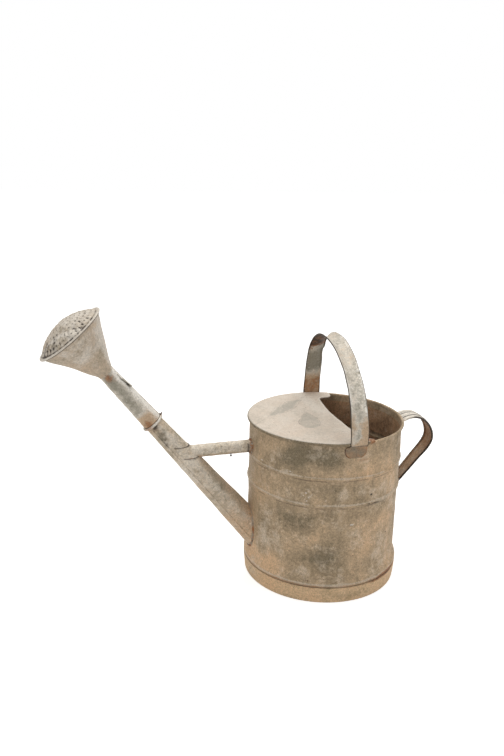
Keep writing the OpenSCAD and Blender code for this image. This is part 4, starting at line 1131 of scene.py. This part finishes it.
def carry_strap():
    strap_x, width, arch_h, peak, cup = 13.0, 28.6, 124.6, 22.0, 6.5
    tab_w, tab_shift, tab_drop, corner = 35.0, 3.2, 24.6, 10.0
    body_h = RIM_Z + FOLD_OUT
    wall_face, rim_face = BODY_R + 0.1 + SHEET, RIM_R + FOLD_OUT + 0.1 + SHEET
    step_hi = RIM_Z - 2.2
    step_lo = step_hi - 5.8
    tab_z = body_h - tab_drop
    r_at = lambda z: wall_face + (rim_face - wall_face) * float(smooth((z - step_lo) / (step_hi - step_lo)))
    round_at = lambda r, x: math.sqrt(r * r - x * x)
    heights = [tab_z + 0.2 + corner * (1 - math.cos(math.radians(t))) for t in np.linspace(0, 86, 12)]
    heights += (list(np.linspace(heights[-1] + 1, step_lo - 0.5, 5)) + list(np.linspace(step_lo, step_hi, 10))
        + list(np.linspace(step_hi + 0.9, body_h - 1, 4)))
    half_span = round_at(rim_face, strap_x)
    rise = np.radians(np.concatenate([np.linspace(2, 20, 12)[:-1], np.linspace(20, 90, 64)]))

    def leg(side, power):
        y = peak + (side * half_span - peak) * np.clip(np.cos(rise), 0, 1) ** (2 / power)
        z = body_h + arch_h * np.sin(rise) ** (2 / power)
        return np.vstack([[(side * round_at(r_at(h), strap_x), h) for h in heights],
            np.stack([y, z], axis=1)])

    def arch(near_power, far_power):
        return np.vstack([leg(-1, near_power), leg(1, far_power)[::-1][1:]])

    # the arch is bent: its front edge and its back edge don't follow quite the same line
    front, path, back = arch(2.15, 2.30), arch(1.985, 2.475), arch(1.82, 2.65)
    normals = path_normals(path)
    rings = []
    for i, ((_, z), nrm) in enumerate(zip(path, normals)):
        d = min(max(corner - (z - tab_z), 0), corner)
        tab_half = tab_w / 2 - corner + round_at(corner, d)
        k = float(smooth((z - step_lo) / (step_hi - step_lo)))
        half_w = tab_half + (width / 2 - tab_half) * k
        free = float(smooth((z - body_h) / 28))
        edge_r = SHEET / 2 + free * 0.8
        side = sign_of(i - len(path) // 2)
        near = float(smooth((z - body_h - 6) / 20))
        waver = near * 0.5 * noise.noise(Vector((i * 0.11, 3.3, side)))
        knock = (1.2 * float(smooth((344 - z) / 3)) * float(smooth((z - 318) / 16))
            - 0.9 * math.exp(-(((z - 348) / 5) ** 2))) if side > 0 else 0.0
        sway = near * 0.8 * noise.noise(Vector((z / 55, 8.1, side)))
        hollow = cup * float(smooth((z - body_h - 40) / 75))
        dips = ([0.0] + [near * 0.5 * noise.noise(Vector((i * 0.16, 5.0 * a, 2.2))) for a in (0.2, 0.4, 0.6)]
            + [0.0, 0.0, 0.0])
        face = [(a, h) for a, h in zip((0, 0.2, 0.4, 0.6, 0.76, 0.86, 0.93), dips)]
        section = strap_section(half_w + waver, edge_r, face)
        ring = []
        for px, ph in section:
            x = strap_x - tab_shift * (1 - k) + px - knock * float(smooth((px - 2) / 10)) + sway
            r = r_at(z)
            sag = (1 - free) * (round_at(r, strap_x) - round_at(r, x))
            across = px / (half_w + waver)
            sink = hollow * (1 - min(abs(across) / 0.9, 1) ** 2)
            base = front[i] + (back[i] - front[i]) * (0.5 + 0.5 * across)
            q = base + (ph - sink) * nrm
            ring.append((x, q[0] - side * sag, q[1]))
        rings.append(np.array(ring))

    def marks(points, m):
        z, x = points[:, 2], points[:, 0]
        ring_x = np.array(rings)[:, :, 0]
        left_x, right_x = ring_x.min(axis=1, keepdims=True), ring_x.max(axis=1, keepdims=True)
        across = ((2 * ring_x - left_x - right_x) / (right_x - left_x)).reshape(-1)
        side = np.repeat(np.sign(np.arange(len(rings)) - len(rings) // 2), m)
        outer = np.tile(section_outer(m, 7), len(rings))
        near, far, inner = (side <= 0) * 1.0, (side > 0) * 1.0, 1 - outer
        high = smooth((z - 352) / 14)
        crown = smooth((z + 8 * fbm(points, 10, 99) - 0.35 * (x - strap_x) - 338) / 36)
        low = smooth((316 - z) / 48) * (z > 257)
        tab = smooth((258 - z) / 2)
        on_arch = 1 - tab
        d = np.minimum(np.clip(corner - (z - tab_z), 0, corner), corner)
        rim = tab_w / 2 - corner + np.sqrt(corner**2 - d**2) - np.abs(x - strap_x + tab_shift)
        fleck = smooth(fbm(points, 3.2, 94, 2) * 4 + 0.3)
        blotch = smooth(fbm(points, 15, 98) * 2 + 0.45)
        edge_l = hill(across + 1.0, 0.09) * on_arch
        edge_r = hill(across - 1.0, 0.09) * on_arch
        tone = (0.6 * fbm(points, 22, 91) - 0.7 * near * outer * blotch * hill(across - 0.15, 0.55)
            * (1 - 0.7 * high) * (1 - low) + near * low * outer * (1.2 - 1.5 * blotch * hill(across, 0.7)))
        # the far leg's inner face is light low down and darkened near the crown: painted shade under the arch
        tone = (tone - 1.2 * inner * far * smooth((z - 282) / 30)
            + 2.2 * inner * far * smooth((312 - z + 4 * fbm(points, 8, 101)) / 34)
            - 1.1 * tab * smooth((z - 243) / 6) * smooth((3 - x + strap_x) / 14) + 0.3 * tab)
        rust = (0.1 * fbm(points, 16, 92) + 1.0 * inner * smooth(crown * 1.5)
            + 0.50 * inner * far * smooth((302 - z) / 24) + 0.5 * (edge_r + edge_l * 0.6)
            * smooth((z - 340) / 30) + tab * (0.10 + 0.35 * hill(rim, 2.4) + 0.2 * smooth((246 - z) / 8))
            + 0.16 * near * low)
        # painted highlights: pale lines beside the near leg's two rolled edges, the right one broken into
        # flecks
        pale = (0.05 + 0.3 * fbm(points, 15, 93) + 0.8 * hill(across - 0.80, 0.14) * near * outer * on_arch
            * fleck + 0.5 * hill(across + 0.84, 0.10) * near * outer * on_arch - 0.15 * high * outer
            - 0.9 * tab - 0.7 * inner - 0.8 * near * low)
        # painted shade: dark lines along both rolled edges, and the inner face darkened under the crown; the
        # crown's red is rust
        soot = (1.4 * edge_l + 1.3 * edge_r + 0.68 * inner * crown + 1.1 * inner * far * hill(z - 264.5, 2.4)
            + 0.28 * inner * far * smooth((z - 318) / 30) * blotch)
        # painted shade under the strap's bulge over the rim's roll
        soot = soot + 0.75 * hill(z - 256.6, 1.1) * outer
        # the tab's outline is darkened, most at its front edge
        left = smooth((strap_x + 4 - x) / 16)
        soot = soot + tab * (
            (0.25 + 0.65 * left) * hill(rim, 1.5) + (0.2 + 0.4 * left) * hill(z - tab_z, 1.3))
        return {"tone": tone, "rust": rust, "pale": pale, "soot": soot}

    obj = strap("carry_strap", rings, STRAP, "carry_handle", marks)
    obj.data.materials.append(TAB)
    m = len(rings[0])
    height = np.repeat(np.array([r[:, 2].mean() for r in rings]), m)
    on_tab = [1 if height[list(f.vertices)].max() < step_hi + 0.5 else 0 for f in obj.data.polygons]
    obj.data.polygons.foreach_set("material_index", on_tab)


def sign_of(v):
    return -1.0 if v < 0 else 1.0


def section_outer(m, on_face):
    """1 for the points of a section on its outer face and over its edges, 0 for those on its inner face."""
    outer = np.zeros(m)
    count = on_face + 7
    outer[:count] = 1
    outer[m - count + 1 :] = 1
    return outer


def bezier(a, b, c, d, n):
    t = np.linspace(0, 1, n + 1)[:, None]
    a, b, c, d = (np.array(v, float) for v in (a, b, c, d))
    return (1 - t) ** 3 * a + 3 * t * (1 - t) ** 2 * b + 3 * t * t * (1 - t) * c + t**3 * d


def rear_strap():
    wall_x = BODY_R + 0.1
    low_x, tip_x = wall_x + SHEET, BODY_R + 61.0
    top_z, high_z, low_z, tongue = 258.0, 240.0, 135.0, 13.0
    bend_z = top_z - 39
    straight = np.array([tip_x - 23, bend_z - 38])
    low = np.array([low_x + 1.2, low_z])
    lean = unit(straight - low)
    path = np.vstack([
        [[wall_x, high_z - tongue], [wall_x, high_z - tongue * 0.7], [wall_x, high_z - tongue * 0.35]],
        bezier([wall_x, high_z], [wall_x, high_z + 8], [wall_x + 8, top_z], [wall_x + 25, top_z], 24),
        bezier([wall_x + 25, top_z], [tip_x - 18.3, top_z], [tip_x, bend_z + 21], [tip_x, bend_z], 26)[1:],
        bezier([tip_x, bend_z], [tip_x, bend_z - 14], straight + 12 * lean, straight, 16)[1:],
        [straight + (low - straight) * k for k in np.linspace(0, 0.9, 16)[1:]],
        bezier(low + 8 * lean, low + 2 * lean, [low_x, low_z - 1], [low_x, low_z - 6], 12),
        [[low_x, low_z - tongue * 0.75], [low_x, low_z - tongue]]])
    normals = path_normals(path)
    length = np.concatenate([[0], np.cumsum(np.linalg.norm(np.diff(path, axis=0), axis=1))])
    rings = []
    for i, ((x0, z), nrm) in enumerate(zip(path, normals)):
        t = length[i] / length[-1]
        off = x0 - wall_x
        free = float(smooth((off - 1) / 10))
        half_w = (40 + (24 - 40) * t) / 2 + 0.35 * free * noise.noise(Vector((i * 0.13, 1.7, 0.4)))
        edge_r = SHEET / 2 + free * 1.2
        rib = 0.8 * free
        face = [(0, 0), (0.16, 0.0), (0.36 - 1.8 / half_w, 0), (0.36 - 0.7 / half_w, rib * 0.9), (0.36, rib),
            (0.36 + 0.7 / half_w, rib * 0.9), (0.36 + 1.8 / half_w, 0), (0.66, 0), (0.80, 0)]
        section = strap_section(half_w, edge_r, face)
        ring = []
        for px, ph in section:
            sag = (1 - float(smooth(off / 30))) * (BODY_R - math.sqrt(BODY_R**2 - px**2))
            q = np.array([x0, z]) + ph * nrm
            ring.append((q[0] - sag, px, q[1]))
        rings.append(np.array(ring))

    def marks(points, m):
        y, x = points[:, 1], points[:, 0]
        row = np.repeat(np.arange(len(rings)), m)
        t = (length / length[-1])[row]
        outer = np.tile(section_outer(m, 9), len(rings))
        inner = 1 - outer
        half_w = (40 - 16 * t) / 2
        across = np.abs(y) / half_w
        off = smooth((x - wall_x - 2) / 10)
        edge = hill(across - 1, 0.12) * off
        rib_side = hill(np.abs(across - 0.36) - 0.10, 0.04) * outer * off
        top = hill(t - 0.16, 0.12)
        lower = smooth((t - 0.48) / 0.2)
        tone = (0.4 * fbm(points, 20, 95) + 1.0 * inner + 0.6 * (1 - off)
            + 0.9 * outer * smooth((t - 0.32) / 0.15))
        pale = (-0.5 * inner * (1 - 1.3 * lower * np.exp(-((across / 0.6) ** 4)))
            + outer * (0.9 * top - 0.3 * smooth((t - 0.3) / 0.15)) + 0.2 * fbm(points, 12, 96))
        rust = (0.1 * fbm(points, 14, 97) + 0.45 * inner * (1 - 0.6 * lower)
            + 0.4 * edge * smooth((t - 0.2) / 0.15) + 0.35 * outer * smooth((t - 0.35) / 0.15)
            + 0.3 * (1 - off))
        # the dark edges are painted shade in the curled edges
        soot = (1.0 * edge * inner + 0.85 * edge * smooth((t - 0.16) / 0.1) + 0.45 * edge + 1.2 * rib_side
            + 0.22 * inner)
        return {"tone": tone, "rust": rust, "pale": pale, "soot": soot}

    strap("rear_strap", rings, REAR, "rear_handle", marks)


carry_strap()
rear_strap()

# ------------------------------------------------------------------ pieces that keep their CAD shape

for node_name, material in (("rim_wire", WIRE), ("lip_wire", WIRE), ("bottom_disc", INSIDE)):
    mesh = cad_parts[node_name].data
    mesh.materials.clear()
    mesh.materials.append(material)

# ------------------------------------------------------------------ floor, light and camera


def flat_material(name, colour, camera_glow):
    g = Graph(name)
    diffuse = g.node("ShaderNodeBsdfDiffuse", {"Color": (*colour, 1)})
    glow = g.node("ShaderNodeEmission")
    path = g.node("ShaderNodeLightPath").outputs
    seen = g.math("MAXIMUM", path["Is Camera Ray"], g.times(path["Is Glossy Ray"], 0.5))
    g.put(glow.inputs["Strength"], g.times(seen, camera_glow))
    add = g.node("ShaderNodeAddShader", {0: diffuse.outputs[0], 1: glow.outputs[0]})
    g.node("ShaderNodeOutputMaterial", {"Surface": add.outputs[0]})
    return g.material


def stage():
    mesh = bpy.data.meshes.new("floor")
    size, z = 9.0, -0.0002
    mesh.from_pydata([(-size, -size, z), (size, -size, z), (size, size, z), (-size, size, z)], [],
        [(0, 1, 2, 3)])
    floor = bpy.data.objects.new("floor", mesh)
    bpy.context.scene.collection.objects.link(floor)
    mesh.materials.append(flat_material("floor_white", (0.80, 0.79, 0.78), 0.62))

    world = bpy.data.worlds.new("studio")
    bpy.context.scene.world = world
    world.use_nodes = True
    tree = world.node_tree
    tree.nodes.clear()
    out = tree.nodes.new("ShaderNodeOutputWorld")
    light, white = tree.nodes.new("ShaderNodeBackground"), tree.nodes.new("ShaderNodeBackground")
    light.inputs["Color"].default_value = (1.0, 0.99, 0.975, 1)
    light.inputs["Strength"].default_value = 0.52
    white.inputs["Color"].default_value = (1, 1, 1, 1)
    white.inputs["Strength"].default_value = 1.0
    path, mix = tree.nodes.new("ShaderNodeLightPath"), tree.nodes.new("ShaderNodeMixShader")
    tree.links.new(path.outputs["Is Camera Ray"], mix.inputs[0])
    tree.links.new(light.outputs[0], mix.inputs[1])
    tree.links.new(white.outputs[0], mix.inputs[2])
    tree.links.new(mix.outputs[0], out.inputs["Surface"])

    def lamp(name, place, target, size, power, colour=(1, 1, 1)):
        data = bpy.data.lights.new(name, "AREA")
        data.shape = "RECTANGLE"
        data.size, data.size_y = size
        data.energy = power
        data.color = colour
        obj = bpy.data.objects.new(name, data)
        bpy.context.scene.collection.objects.link(obj)
        obj.location = place
        obj.rotation_euler = (Vector(target) - Vector(place)).to_track_quat("-Z", "Y").to_euler()

    lamp("top_light", (0.15, 0.55, 2.1), (-0.05, 0, 0.15), (1.8, 1.4), 24, (1.0, 0.985, 0.96))
    lamp("side_light", (-1.5, -1.0, 1.2), (-0.1, 0, 0.2), (1.1, 1.1), 5, (1.0, 0.98, 0.95))
    lamp("right_light", (1.7, -0.9, 0.9), (0, 0, 0.15), (0.9, 1.2), 4.5, (1.0, 0.98, 0.95))


stage()


def camera():
    # where the picture is taken from, and the directions of its right, up and back
    place = Vector((-385.14, -1153.30, 683.73)) * MM
    right = Vector((0.97613, -0.21579, 0.02444))
    up = Vector((0.03927, 0.28607, 0.95740))
    back = Vector((-0.21359, -0.93359, 0.28772))
    data = bpy.data.cameras.new("camera")
    data.sensor_width = 36.0
    data.lens = 38.41
    data.clip_start, data.clip_end = 0.05, 60
    obj = bpy.data.objects.new("camera", data)
    bpy.context.scene.collection.objects.link(obj)
    turn = Matrix((right, up, back)).transposed().to_4x4()
    obj.matrix_world = Matrix.Translation(place) @ turn
    bpy.context.scene.camera = obj


camera()
bpy.context.scene.view_settings.view_transform = "Standard"
